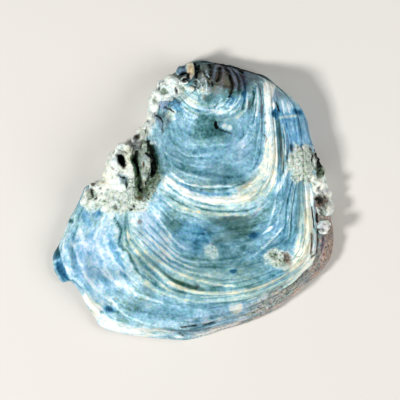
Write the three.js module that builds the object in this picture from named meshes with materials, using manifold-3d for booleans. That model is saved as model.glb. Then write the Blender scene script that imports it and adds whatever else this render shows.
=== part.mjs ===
// A fossil oyster shell: one thick valve, lying on its edge with its stepped outer face up.
// The growth lines spread from the beak near the back edge. A raised ledge rings the early, dished
// part of the shell, a paired ridge rings the later part, and a thin lower layer shows at the front
// edge. Lumps of cemented sediment sit on the left, right and beak. The inside is a smooth hollow
// with a flat rim all round and a thick plate at the hinge. Millimetres, +Z up, front towards -Y.

import * as THREE from "three";
import { mergeVertices } from "three/addons/utils/BufferGeometryUtils.js";
import Module from "manifold-3d";

const wasm = await Module();
wasm.setup();

// Growth lines, seen from above. Ray 0 is behind the beak, and the rays run clockwise.
const RAYS = 24;
const POINTS_PER_RAY = 3;
const BEAK = [4, 38.7];

// The outer edge, three points to a ray.
const MARGIN = [
  [4.0, 46.5], [6.7, 45.8], [9.7, 45.0],
  [13.0, 45.0], [16.0, 43.7], [19.3, 42.4],
  [23.3, 41.7], [25.7, 40.3], [28.0, 38.0],
  [30.3, 36.3], [32.3, 34.7], [34.3, 32.7],
  [36.3, 30.3], [38.0, 26.7], [38.8, 22.7],
  [39.7, 19.3], [40.7, 17.0], [42.0, 14.0],
  [43.3, 10.7], [44.7, 5.3], [45.3, 1.0],
  [46.7, -2.7], [46.0, -6.0], [46.7, -10.0],
  [46.7, -14.3], [46.0, -18.7], [44.3, -21.7],
  [41.7, -25.0], [39.0, -27.0], [34.7, -31.0],
  [30.7, -34.0], [27.3, -36.5], [23.7, -38.3],
  [18.3, -40.7], [13.3, -42.3], [8.3, -43.7],
  [2.3, -45.7], [-3.0, -46.7], [-9.3, -46.3],
  [-16.0, -45.7], [-22.7, -44.7], [-27.3, -43.7],
  [-31.3, -41.7], [-32.7, -39.0], [-35.3, -36.0],
  [-37.3, -31.3], [-40.7, -27.2], [-43.7, -27.3],
  [-46.3, -23.3], [-46.7, -18.7], [-45.0, -15.3],
  [-43.3, -11.7], [-42.3, -9.3], [-41.3, -6.3],
  [-39.0, -2.3], [-37.3, 1.3], [-35.7, 4.5],
  [-31.7, 5.7], [-29.3, 8.3], [-28.0, 11.7],
  [-25.7, 14.7], [-22.7, 17.0], [-19.7, 19.3],
  [-17.0, 22.0], [-15.7, 26.0], [-15.0, 30.7],
  [-13.3, 34.7], [-11.7, 38.3], [-8.7, 40.0],
  [-5.7, 42.3], [-3.0, 45.0], [0.0, 46.3],
];

// The lip of the ledge round the early shell, one point to a ray.
const LEDGE = [
  [4.0, 45.2], [11.3, 44.0], [19.0, 42.2], [24.3, 39.7], [25.3, 34.3], [25.7, 27.3],
  [26.3, 20.0], [26.3, 13.3], [25.0, 7.3], [21.3, 2.7], [15.7, 0.3], [9.7, -0.3],
  [3.0, 0.3], [-3.0, 2.0], [-7.3, 4.3], [-10.7, 7.0], [-12.7, 10.3], [-13.7, 13.3],
  [-14.3, 16.3], [-14.7, 19.3], [-14.8, 22.0], [-14.7, 26.7], [-12.0, 35.3], [-4.3, 42.7],
];

// The crest of the paired ridge of the later shell, one point to a ray.
const RIDGE = [
  [4.0, 45.8], [12.3, 44.6], [21.7, 41.8], [28.7, 37.2], [33.7, 31.0], [36.0, 21.7],
  [36.7, 11.7], [37.3, 1.7], [38.0, -8.3], [36.7, -18.3], [29.3, -25.0], [17.3, -29.7],
  [4.0, -30.7], [-6.0, -29.0], [-13.0, -23.7], [-18.3, -18.0], [-21.7, -13.3], [-22.3, -7.3],
  [-21.0, 0.7], [-19.3, 9.3], [-17.7, 16.7], [-15.7, 24.3], [-12.7, 36.0], [-5.0, 43.0],
];

// How far the thin lower layer shows beyond the layer above it, three widths to a ray.
const LOWER_LAYER = [
  0.3, 0.3, 0.4, 0.4, 0.4, 0.5, 0.5, 0.6, 0.6, 0.7, 0.8, 0.8,
  0.9, 0.9, 1.0, 1.0, 1.1, 1.1, 1.2, 1.2, 1.3, 1.3, 1.3, 1.4,
  1.4, 1.4, 1.3, 1.3, 1.3, 1.2, 1.2, 1.2, 1.2, 1.2, 1.4, 1.6,
  1.8, 2.2, 2.6, 3.0, 3.3, 3.6, 3.8, 3.2, 2.4, 1.6, 1.2, 3.2,
  4.4, 3.8, 2.0, 1.4, 1.2, 1.1, 1.0, 1.0, 1.0, 1.0, 1.0, 0.9,
  0.9, 0.8, 0.7, 0.6, 0.5, 0.5, 0.4, 0.4, 0.3, 0.3, 0.3, 0.3,
];

// The rounded knob at the beak.
const UMBO = { centre: [5.3, 36.9], radiusX: 11, radiusY: 6.2 };

// Stages of growth, from 0 at the beak to 1 at the edge.
const STAGE = { beak: 0, umbo: 0.13, ledge: 0.45, ridge: 0.78, layer: 0.95, margin: 1 };

// Height of the outer face at each stage: along the open front of the shell, and on its steep back.
const HEIGHTS = [
  { stage: 0, open: 18.6, steep: 18.6 },
  { stage: 0.07, open: 18.6, steep: 15.6 },
  { stage: 0.13, open: 17.4, steep: 11.8 },
  { stage: 0.28, open: 16.4, steep: 9.6 },
  { stage: 0.45, open: 19.4, steep: 8.0 },
  { stage: 0.62, open: 17.0, steep: 6.4 },
  { stage: 0.78, open: 12.8, steep: 5.0 },
  { stage: 0.88, open: 9.0, steep: 4.0 },
  { stage: 0.95, open: 5.4, steep: 3.3 },
  { stage: 1, open: 2.6, steep: 2.6 },
];
// Width of shell outside the ledge at which the face is fully steep, and at which it is fully open.
const STEEP_BAND = 1;
const OPEN_BAND = 12;

// Growth ledges: each lip rises over its width and drops at its stage. Rays limit a local one.
const LEDGES = [
  { stage: 0.045, lip: 0.5, width: 0.025 },
  { stage: 0.085, lip: 0.6, width: 0.03 },
  { stage: 0.13, lip: 0.7, width: 0.03 },
  { stage: 0.185, lip: 0.35, width: 0.03 },
  { stage: 0.375, lip: 0.35, width: 0.03 },
  { stage: 0.41, lip: 0.45, width: 0.025 },
  { stage: 0.455, lip: 1.5, width: 0.035 },
  { stage: 0.49, lip: 0.6, width: 0.02 },
  { stage: 0.53, lip: 0.45, width: 0.025 },
  { stage: 0.585, lip: 0.7, width: 0.03, rays: [4, 11] },
  { stage: 0.64, lip: 0.5, width: 0.03 },
  { stage: 0.705, lip: 0.45, width: 0.03 },
  { stage: 0.748, lip: 1.1, width: 0.025 },
  { stage: 0.79, lip: 1.4, width: 0.018 },
  { stage: 0.835, lip: 0.7, width: 0.03 },
  { stage: 0.885, lip: 0.8, width: 0.03 },
  { stage: 0.95, lip: 1.2, width: 0.035 },
];
const DROP = 0.006; // stages over which a lip falls away
const LEDGE_FADE = 1.2; // rays over which a local ledge fades in and out

// Edge, rim and inside.
const EDGE_UNDERCUT = 1.2;
const EDGE_WAIST = { height: 1.3, inset: 0.4 };
const HOLLOW_CENTRE = [-1, -8];
const HOLLOW = { depth: 11.5, roundness: 2.6 };
const HOLLOW_STEPS = [0.97, 0.9, 0.78, 0.6, 0.4, 0.2];

// The edge of the hollow, one point to a ray. It stops short of the hinge plate at the back.
const HOLLOW_EDGE = [
  [5.5, 28.0], [11.5, 27.8], [17.5, 26.4], [23.5, 23.2], [28.6, 18.6], [32.6, 12.6],
  [35.6, 6.0], [38.0, -2.6], [38.2, -11.8], [34.6, -20.6], [26.4, -28.2], [15.6, -34.2],
  [3.0, -38.4], [-12.0, -38.8], [-25.0, -34.6], [-32.4, -28.0], [-37.8, -19.6], [-36.6, -10.8],
  [-31.6, -3.6], [-25.4, 1.0], [-20.6, 7.4], [-13.2, 14.4], [-7.6, 22.0], [-1.0, 26.6],
];

// The triangular ligament pit in the hinge plate, and the oval muscle scar in the hollow.
const LIGAMENT_PIT = { tip: [4.6, 45.2], length: 14, halfWidth: 5, depth: 1.9, sides: 12 };
const MUSCLE_SCAR = { at: [11, -7, 10.6], radii: [8.5, 6.5, 1.6] };

// Low swells of crust on the outer face: middle seen from above, radii and height.
const SWELLS = [
  // left crust and the plateau below it
  { at: [-22, 12], radii: [8, 10], height: 3.4 },
  { at: [-30, 3], radii: [8, 6], height: 2.6 },
  { at: [-22, 1], radii: [7, 5], height: 2.0 },
  { at: [-17, 19], radii: [4, 5], height: 3.0 },
  // crust up the left side to the beak
  { at: [-12.4, 26], radii: [4, 6], height: 2.4 },
  { at: [-11, 34], radii: [5, 5], height: 2.8 },
  { at: [-5.5, 39.5], radii: [6, 4.5], height: 2.6 },
  { at: [-14, 25], radii: [3, 3], height: 1.2 },
  { at: [-10, 30.6], radii: [3.4, 3], height: 1.6 },
  // right crust
  { at: [36.5, 12], radii: [5, 8], height: 1.6 },
  { at: [41.5, 0], radii: [5, 12], height: 1.6 },
  { at: [40, -17], radii: [6, 8], height: 1.2 },
  { at: [34, -26], radii: [7, 5], height: 1.2 },
  // patches on the open face
  { at: [29.6, -19.8], radii: [4.5, 3.5], height: 1.4 },
  { at: [5.8, -17.0], radii: [2.6, 2.6], height: 1.0 },
];

// Lumps that stand clear of the swells: middle and radii.
const LUMPS = [
  { at: [-21.8, 14.4, 11.2], radii: [4.8, 4.2, 5.0] },
  { at: [-25.6, 10.6, 8.0], radii: [4.4, 4.2, 4.6] },
  { at: [-19.6, 17.0, 11.4], radii: [3.2, 3.0, 3.8] },
  { at: [-16.8, 11.6, 12.6], radii: [1.8, 6.2, 5.4] },
  { at: [-27.4, 6.6, 6.2], radii: [3.6, 3.6, 3.8] },
  { at: [-30.6, 3.4, 5.4], radii: [5.4, 3.6, 3.4] },
  { at: [-1.2, 41.8, 11.6], radii: [3.0, 2.8, 4.6] },
  { at: [3.4, 43.0, 10.0], radii: [3.2, 2.2, 4.6] },
  { at: [-8.4, 36.8, 9.4], radii: [3.6, 3.0, 4.0] },
  { at: [42.0, 5.6, 5.0], radii: [3.0, 4.2, 2.8] },
  { at: [43.9, -2.8, 4.2], radii: [2.8, 3.8, 2.8] },
  { at: [43.2, -9.6, 4.6], radii: [2.8, 3.8, 2.6] },
];
const LARGE_LUMP = 5; // a lump whose widest radius is over this gets finer faces
const LUMP_ROUGHNESS = 0.2; // share of a radius
const LUMP_WAVE = 0.7; // wave number of the roughness, per mm

// Pits and gaps cut down into the crust and the face: middle and radii.
const PITS = [
  { at: [-14.5, 12.4, 21], radii: [1.2, 6.0, 9.0] },
  { at: [-23.4, 14.0, 18], radii: [1.2, 1.5, 5.0] },
  { at: [-18.9, 11.0, 18], radii: [0.7, 4.6, 4.6] },
  { at: [-32.6, 2.0, 11], radii: [1.0, 1.6, 4.6] },
  { at: [42.8, 1.2, 9], radii: [1.6, 1.2, 5.0] },
  { at: [7.4, 23.8, 18.6], radii: [1.8, 1.4, 1.8] },
  { at: [-3.4, 40.6, 16], radii: [1.0, 1.0, 4.0] },
];

const SHELL_COLOUR = 0x8fb3c4;

// The point at place t of a closed smooth curve through points, t counted in points.
function closedCurve(points, t) {
  const count = points.length;
  const i = Math.floor(t);
  const f = t - i;
  const [a, b, c, d] = [-1, 0, 1, 2].map((k) => points[(((i + k) % count) + count) % count]);
  return b.map((_, axis) => {
    const [p, q, r, s] = [a[axis], b[axis], c[axis], d[axis]];
    const bend = 2 * p - 5 * q + 4 * r - s;
    return 0.5 * (2 * q + f * (r - p + f * (bend + f * (3 * (q - r) + s - p))));
  });
}

function between(from, to, share) {
  return from.map((value, axis) => value + (to[axis] - value) * share);
}

function distance(from, to) {
  return Math.hypot(...from.map((value, axis) => to[axis] - value));
}

// The umbo's outline in the direction that a ray leaves the beak.
function umboPoint(ledgePoint) {
  const angle = Math.atan2(ledgePoint[1] - BEAK[1], ledgePoint[0] - BEAK[0]);
  const { centre, radiusX, radiusY } = UMBO;
  return [centre[0] + radiusX * Math.cos(angle), centre[1] + radiusY * Math.sin(angle)];
}

// Where a ray crosses each named stage, from the beak to the edge.
function rayStations(ray) {
  const margin = closedCurve(MARGIN, ray * POINTS_PER_RAY);
  const ledge = closedCurve(LEDGE, ray);
  const ridge = closedCurve(RIDGE, ray);
  const lower = closedCurve(LOWER_LAYER.map((width) => [width]), ray * POINTS_PER_RAY)[0];
  const layer = between(margin, ridge, Math.min(0.6, lower / distance(margin, ridge)));
  return [
    { stage: STAGE.beak, at: BEAK },
    { stage: STAGE.umbo, at: umboPoint(ledge) },
    { stage: STAGE.ledge, at: ledge },
    { stage: STAGE.ridge, at: ridge },
    { stage: STAGE.layer, at: layer },
    { stage: STAGE.margin, at: margin },
  ];
}

function growthPoint(stations, stage) {
  const next = Math.max(1, stations.findIndex((station) => station.stage >= stage));
  const [a, b] = [stations[next - 1], stations[next]];
  return between(a.at, b.at, (stage - a.stage) / (b.stage - a.stage));
}

// Height of the smooth shell at a stage, by a curve through HEIGHTS whose slopes are finite differences.
function smoothHeight(stage, key) {
  const next = Math.max(1, HEIGHTS.findIndex((row) => row.stage >= stage));
  const slope = (i) => {
    const [before, after] = [HEIGHTS[Math.max(0, i - 1)], HEIGHTS[Math.min(HEIGHTS.length - 1, i + 1)]];
    return (after[key] - before[key]) / (after.stage - before.stage);
  };
  const [a, b] = [HEIGHTS[next - 1], HEIGHTS[next]];
  const span = b.stage - a.stage;
  const t = (stage - a.stage) / span;
  const rise = t * t * (3 - 2 * t);
  const bend = t * (1 - t) * span * ((1 - t) * slope(next - 1) - t * slope(next));
  return a[key] + (b[key] - a[key]) * rise + bend;
}

function smoothStep(low, high, value) {
  const t = Math.min(1, Math.max(0, (value - low) / (high - low)));
  return t * t * (3 - 2 * t);
}

// How far the growth ledges raise the surface.
function ledgeRelief(ray, stage) {
  let raised = 0;
  for (const { stage: lipStage, lip, width, rays } of LEDGES) {
    const local = rays
      ? smoothStep(rays[0], rays[0] + LEDGE_FADE, ray) * (1 - smoothStep(rays[1] - LEDGE_FADE, rays[1], ray))
      : 1;
    if (stage > lipStage) {
      raised += lip * local * Math.max(0, 1 - (stage - lipStage) / DROP);
    } else {
      raised += lip * local * Math.exp((stage - lipStage) / width);
    }
  }
  return raised;
}

function steepness(stations) {
  return 1 - smoothStep(STEEP_BAND, OPEN_BAND, distance(stations[2].at, stations[5].at));
}

// How far the swells raise the surface at a place seen from above, less at the very edge.
function swellRelief(at, stage) {
  let raised = 0;
  for (const swell of SWELLS) {
    const across = Math.hypot((at[0] - swell.at[0]) / swell.radii[0], (at[1] - swell.at[1]) / swell.radii[1]);
    raised += swell.height * (1 - smoothStep(0, 1, across));
  }
  return raised * (1 - smoothStep(STAGE.layer, STAGE.margin, stage));
}

function outerPoint(ray, stations, stage) {
  const steep = steepness(stations);
  const at = growthPoint(stations, stage);
  const smooth = smoothHeight(stage, "open") * (1 - steep) + smoothHeight(stage, "steep") * steep;
  return [...at, smooth + ledgeRelief(ray, stage) * (1 - 0.6 * steep) + swellRelief(at, stage)];
}

// The stages at which the outer face has a loop of points: each lip, its foot and its back.
function loopStages() {
  const stages = [0.02, 0.23, 0.3, 0.345, 0.435, 0.675, 0.775, 0.925, 1];
  for (const { stage } of LEDGES) stages.push(stage, stage + DROP);
  const sorted = stages.sort((a, b) => a - b);
  return sorted.filter((stage, i) => i === 0 || stage - sorted[i - 1] > DROP * 0.9);
}

// The edge wall, the flat rim that the shell lies on, and the hollow.
function innerLoops(rays, margins) {
  const inset = (i, width) => {
    const edge = margins[i];
    return between(edge, HOLLOW_CENTRE, width / distance(edge, HOLLOW_CENTRE));
  };
  const hollowEdge = rays.map((ray) => closedCurve(HOLLOW_EDGE, ray));
  const loops = [
    rays.map((_, i) => [...inset(i, EDGE_WAIST.inset), EDGE_WAIST.height]),
    rays.map((_, i) => [...inset(i, EDGE_UNDERCUT), 0]),
    hollowEdge.map((edge) => [...edge, 0]),
  ];
  for (const step of HOLLOW_STEPS) {
    const height = HOLLOW.depth * (1 - step ** HOLLOW.roundness);
    loops.push(hollowEdge.map((edge) => [...between(HOLLOW_CENTRE, edge, step), height]));
  }
  return loops;
}

// One closed body through a first point, loops of equal count and a last point.
function skin(first, loops, last) {
  const count = loops[0].length;
  const points = [first, ...loops.flat(), last];
  const faces = [];
  const at = (loop, i) => 1 + loop * count + (i % count);
  for (let i = 0; i < count; i += 1) {
    faces.push(0, at(0, i + 1), at(0, i));
    for (let loop = 0; loop + 1 < loops.length; loop += 1) {
      faces.push(at(loop, i), at(loop, i + 1), at(loop + 1, i + 1));
      faces.push(at(loop, i), at(loop + 1, i + 1), at(loop + 1, i));
    }
    faces.push(points.length - 1, at(loops.length - 1, i), at(loops.length - 1, i + 1));
  }
  const geometry = new THREE.BufferGeometry();
  geometry.setAttribute("position", new THREE.Float32BufferAttribute(points.flat(), 3));
  geometry.setIndex(faces);
  return geometry;
}

function valveGeometry() {
  const rays = Array.from({ length: RAYS * POINTS_PER_RAY }, (_, i) => i / POINTS_PER_RAY);
  const stations = rays.map(rayStations);
  const outer = loopStages().map((stage) => rays.map((ray, i) => outerPoint(ray, stations[i], stage)));
  const inner = innerLoops(rays, stations.map((row) => row[5].at));
  const beak = [...BEAK, smoothHeight(0, "open")];
  return skin(beak, [...outer, ...inner], [...HOLLOW_CENTRE, HOLLOW.depth]);
}

// A rough rounded lump, its low points kept off the ground.
function lumpGeometry({ at, radii }, roughness) {
  const geometry = new THREE.IcosahedronGeometry(1, Math.max(...radii) > LARGE_LUMP ? 2 : 1);
  const position = geometry.getAttribute("position");
  for (let i = 0; i < position.count; i += 1) {
    const unit = [position.getX(i), position.getY(i), position.getZ(i)];
    const [x, y, z] = unit.map((value, axis) => value * radii[axis]);
    const waves = Math.sin(LUMP_WAVE * (x * 2.1 + at[0])) + Math.sin(LUMP_WAVE * (y * 2.7 + at[1] + z))
      + Math.sin(LUMP_WAVE * (z * 2.3 + x - y));
    const swell = 1 + (roughness * waves) / 2;
    position.setXYZ(i, at[0] + x * swell, at[1] + y * swell, Math.max(0.4, at[2] + z * swell));
  }
  return geometry;
}

function solidOf(geometry) {
  const bare = geometry.clone();
  bare.deleteAttribute("normal");
  bare.deleteAttribute("uv");
  const merged = mergeVertices(bare, 1e-4);
  return new wasm.Manifold(new wasm.Mesh({
    numProp: 3,
    vertProperties: merged.getAttribute("position").array,
    triVerts: new Uint32Array(merged.index.array),
  }));
}

function geometryOf(solid) {
  const mesh = solid.getMesh();
  const geometry = new THREE.BufferGeometry();
  geometry.setAttribute("position", new THREE.BufferAttribute(mesh.vertProperties, 3));
  geometry.setIndex(new THREE.BufferAttribute(mesh.triVerts, 1));
  geometry.computeVertexNormals();
  return geometry;
}

// The ligament pit as a flattened cone lying in the hinge plate, its tip to the back.
function ligamentPitGeometry() {
  const { tip, length, halfWidth, depth, sides } = LIGAMENT_PIT;
  const geometry = new THREE.ConeGeometry(halfWidth, length, sides);
  geometry.scale(1, 1, depth / halfWidth);
  geometry.translate(tip[0], tip[1] - length / 2, 0);
  return geometry;
}

function muscleScarGeometry() {
  const geometry = new THREE.IcosahedronGeometry(1, 2);
  geometry.scale(...MUSCLE_SCAR.radii);
  geometry.translate(...MUSCLE_SCAR.at);
  return geometry;
}

function oysterValve() {
  let solid = solidOf(valveGeometry());
  for (const lump of LUMPS) solid = solid.add(solidOf(lumpGeometry(lump, LUMP_ROUGHNESS)));
  for (const pit of PITS) solid = solid.subtract(solidOf(lumpGeometry(pit, 0)));
  solid = solid.subtract(solidOf(ligamentPitGeometry()));
  solid = solid.subtract(solidOf(muscleScarGeometry()));
  const material = new THREE.MeshStandardMaterial({ color: SHELL_COLOUR, roughness: 0.75, metalness: 0 });
  const valve = new THREE.Mesh(geometryOf(solid), material);
  valve.name = "oyster_valve";
  return valve;
}

const shell = new THREE.Group();
shell.add(oysterValve());

export default shell;
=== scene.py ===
"""A fossil oyster shell: one thick valve lying on its rim, outer face up, with crusts of cemented sand.

The valve is a cage of growth lines, extruded one from the next, subdivided and carved. The crusts are
lumps joined, remeshed and roughened. Lengths are in millimetres until they reach Blender, in metres.
"""

import math

import bmesh
import bpy
import numpy as np
from bpy.props import FloatProperty, FloatVectorProperty, IntProperty, PointerProperty
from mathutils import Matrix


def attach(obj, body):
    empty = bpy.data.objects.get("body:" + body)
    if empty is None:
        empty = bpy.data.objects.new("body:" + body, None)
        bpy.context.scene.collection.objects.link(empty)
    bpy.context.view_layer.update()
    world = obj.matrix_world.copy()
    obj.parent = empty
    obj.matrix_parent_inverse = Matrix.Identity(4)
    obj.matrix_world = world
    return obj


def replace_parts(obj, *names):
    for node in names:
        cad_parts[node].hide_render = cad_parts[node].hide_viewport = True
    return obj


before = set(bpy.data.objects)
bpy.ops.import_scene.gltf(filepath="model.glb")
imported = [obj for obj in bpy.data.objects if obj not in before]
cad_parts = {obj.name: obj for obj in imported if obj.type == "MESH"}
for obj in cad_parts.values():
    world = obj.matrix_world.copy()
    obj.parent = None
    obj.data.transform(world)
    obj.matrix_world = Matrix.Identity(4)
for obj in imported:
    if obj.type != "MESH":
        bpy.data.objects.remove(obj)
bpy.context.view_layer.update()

bl_info = {
    "name": "Fossil oyster shell",
    "version": (1, 0, 0),
    "blender": (4, 5, 0),
    "location": "3D View > Sidebar > Shell",
    "description": "Models a fossil oyster valve with its crusts and a studio stage",
    "category": "Object",
}

MM = 0.001

# Growth lines, seen from above. Ray 0 is behind the beak, and the rays run clockwise.
RAYS = 24
BEAK = (4.0, 38.7)

# The outer edge, three points to a ray.
MARGIN_POINTS = 3
MARGIN = (
    (4, 46.5), (6.7, 45.8), (9.7, 45),
    (13.2, 44.9), (16.2, 42.7), (19.3, 42.3),
    (23.3, 41.7), (25.7, 40.3), (28, 38),
    (30.3, 36.3), (32.3, 34.7), (34.3, 32.7),
    (36.3, 30.3), (38, 26.7), (38.8, 22.7),
    (39.7, 19.3), (40.7, 17), (42, 14),
    (43.3, 10.7), (44.7, 5.3), (45.3, 1),
    (46.7, -2.7), (46, -6), (46.7, -10),
    (46.7, -14.3), (46, -18.7), (44.3, -21.7),
    (41.7, -25), (39, -27), (34.7, -31),
    (30.7, -34), (27.3, -36.5), (23.7, -38.3),
    (18.3, -40.7), (13.3, -42.3), (8.3, -43.7),
    (2.3, -45.7), (-3, -46.7), (-9.3, -46.3),
    (-16, -45.7), (-22.7, -44.7), (-27.3, -43.7),
    (-31.3, -41.7), (-32.7, -39), (-35.3, -36),
    (-37.3, -31.3), (-40.7, -27.2), (-43.7, -27.3),
    (-46.3, -23.3), (-46.7, -18.7), (-45, -15.3),
    (-43.3, -11.7), (-42.3, -9.3), (-41.3, -6.3),
    (-39, -2.3), (-37.3, 1.3), (-35.7, 4.5),
    (-31.7, 5.7), (-29.3, 8.3), (-28, 11.7),
    (-25.7, 14.7), (-22.7, 17), (-19.7, 19.3),
    (-17, 22), (-15.7, 26), (-15, 30.7),
    (-13.3, 34.7), (-11.7, 38.3), (-8.7, 40),
    (-5.7, 42.3), (-3, 45), (0, 46.3),
)

# The lip of the ledge round the early shell, one point to a ray.
LEDGE = (
    (4, 45.2), (11.3, 44), (19, 42.2), (24.3, 39.7), (25.3, 34.3), (25.7, 27.3),
    (26.3, 20), (26.3, 13.3), (25, 7.3), (21.3, 2.7), (15.7, 0.3), (9.7, -0.3),
    (3, 0.3), (-3, 2), (-7.3, 4.3), (-10.7, 7), (-12.7, 10.3), (-13.7, 13.3),
    (-14.3, 16.3), (-14.7, 19.3), (-14.8, 22), (-14.7, 26.7), (-12, 35.3), (-4.3, 42.7),
)

# The crest of the paired ridge of the later shell, one point to a ray.
RIDGE = (
    (4, 45.8), (12.3, 44.6), (21.7, 41.8), (28.7, 37.2), (33.7, 31), (36, 21.7),
    (36.7, 11.7), (37.3, 1.7), (38, -8.3), (36.7, -18.3), (29.3, -25), (17.3, -29.7),
    (4, -30.7), (-6, -29), (-13, -23.7), (-18.3, -18), (-21.7, -13.3), (-22.3, -7.3),
    (-21, 0.7), (-19.3, 9.3), (-17.7, 16.7), (-15.7, 24.3), (-12.7, 36), (-5, 43),
)

# How far the thin lower layer shows beyond the layer above it, three widths to a ray.
LOWER_LAYER = (
    0.3, 0.3, 0.4, 0.4, 0.4, 0.5, 0.5, 0.6, 0.6, 0.7, 0.8, 0.8,
    0.9, 0.9, 1.0, 1.0, 1.1, 1.1, 1.2, 1.2, 1.3, 1.3, 1.3, 1.4,
    1.4, 1.4, 1.3, 1.3, 1.3, 1.2, 1.2, 1.2, 1.2, 1.2, 1.4, 1.6,
    1.8, 2.2, 2.6, 3.0, 3.3, 3.6, 3.8, 3.2, 2.4, 1.6, 1.2, 3.2,
    4.4, 3.8, 2.0, 1.4, 1.2, 1.1, 1.0, 1.0, 1.0, 1.0, 1.0, 0.9,
    0.9, 0.8, 0.7, 0.6, 0.5, 0.5, 0.4, 0.4, 0.3, 0.3, 0.3, 0.3,
)
# It takes up at most this share of the way to the ridge.
MOST_LAYER = 0.6

# The rounded knob at the beak.
UMBO_CENTRE = (5.3, 36.9)
UMBO_RADII = (11.0, 6.2)

# Stages of growth, from 0 at the beak to 1 at the edge, and on to 2 in the middle of the hollow.
STAGE_BEAK, STAGE_UMBO, STAGE_LEDGE, STAGE_RIDGE, STAGE_LAYER, STAGE_MARGIN = 0, 0.13, 0.45, 0.78, 0.95, 1
STAGE_WAIST, STAGE_FOOT, STAGE_RIM, STAGE_CENTRE = 1.01, 1.03, 1.15, 2

# Stage, height along the open front of the shell, and height on its steep back.
HEIGHTS = (
    (0, 18.6, 18.6), (0.07, 18.6, 15.6), (0.13, 17.4, 11.8), (0.28, 16.4, 9.6), (0.45, 19.4, 8),
    (0.62, 17, 6.4), (0.78, 12.8, 5), (0.88, 9, 4), (0.95, 5.4, 3.3), (1, 2.6, 2.6),
)
# The shell falls steeply where its edge is within STEEP_BAND of the ledge, and lies open beyond OPEN_BAND.
STEEP_BAND, OPEN_BAND = 1, 12
# The share of the growth ledges that is lost where it is steep.
STEEP_LEDGE_LOSS = 0.6

# Growth ledges: stage of the lip, its rise, the stages that it rises over, and its rays if it is local.
LEDGES = (
    (0.045, 0.5, 0.025, None), (0.085, 0.6, 0.03, None), (0.13, 0.7, 0.03, None),
    (0.185, 0.35, 0.03, None), (0.375, 0.15, 0.03, None), (0.41, 0.35, 0.025, None),
    (0.455, 1.5, 0.035, None), (0.49, 0.6, 0.02, None), (0.53, 0.45, 0.025, None),
    (0.585, 0.7, 0.03, (4, 11)), (0.64, 0.5, 0.03, None), (0.705, 0.45, 0.03, None),
    (0.748, 1.1, 0.025, None), (0.79, 1.4, 0.018, None), (0.835, 0.7, 0.03, None),
    (0.885, 0.8, 0.03, None), (0.95, 1.2, 0.035, None),
)
# The stages over which a ledge drops beyond its lip, and the rays over which a local one fades.
DROP, LEDGE_FADE = 0.006, 1.2
# Fine relief fades where the growth lines are crowded: the reach from beak to edge where it is full, in mm.
CROWDED_REACH = 34

# Low swells of crust on the outer face: middle, radii and height.
SWELLS = (
    ((-22, 12), (8, 10), 3.4), ((-30, 3), (8, 6), 2.6), ((-22, 1), (7, 5), 2), ((-17, 19), (4, 5), 3),
    ((-12.4, 26), (4, 6), 2.4), ((-11, 34), (5, 5), 2.8), ((-5.5, 39.5), (6, 4.5), 2.6),
    ((-14, 25), (3, 3), 1.2), ((-10, 30.6), (3.4, 3), 1.6),
    ((36.5, 12), (5, 8), 1.6), ((41.5, 0), (5, 12), 1.6), ((40, -17), (6, 8), 1.2), ((34, -26), (7, 5), 1.2),
    ((29.6, -19.8), (4.5, 3.5), 1.4), ((5.8, -17), (2.6, 2.6), 1),
)

# Edge wall, flat rim and hollow.
EDGE_UNDERCUT = 1.2
WAIST_HEIGHT, WAIST_INSET = 1.3, 0.4
HOLLOW_CENTRE = (-1.0, -8.0)
HOLLOW_DEPTH, HOLLOW_ROUNDNESS = 11.5, 2.6
HOLLOW_EDGE = (
    (5.5, 28), (11.5, 27.8), (17.5, 26.4), (23.5, 23.2), (28.6, 18.6), (32.6, 12.6),
    (35.6, 6), (38, -2.6), (38.2, -11.8), (34.6, -20.6), (26.4, -28.2), (15.6, -34.2),
    (3, -38.4), (-12, -38.8), (-25, -34.6), (-32.4, -28), (-37.8, -19.6), (-36.6, -10.8),
    (-31.6, -3.6), (-25.4, 1), (-20.6, 7.4), (-13.2, 14.4), (-7.6, 22), (-1, 26.6),
)

# The oval muscle scar in the hollow: middle, radii, depth, and where it ends as shares of its radii.
SCAR_CENTRE, SCAR_RADII, SCAR_DEPTH, SCAR_EDGE = (11.0, -7.0), (8.5, 6.5), 0.7, (0.8, 1.0)
# The triangular ligament pit in the flat rim behind the hollow: tip, length, half width, depth, and the
# lengths over which it starts at its tip and ends.
PIT_TIP, PIT_LENGTH, PIT_HALF_WIDTH, PIT_DEPTH = (4.6, 45.2), 14.0, 5.0, 1.9
PIT_TIP_FADE, PIT_END_FADE = 3, 2

# The cage: columns, rows on the outer face, and the rows under the shell.
CAGE_COLUMNS = 96
OUTER_ROWS = 54
UNDER_ROWS = (1.01, 1.03, 1.09, 1.15, 1.2, 1.32, 1.5, 1.74)
SUBDIVISIONS = 2

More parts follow.
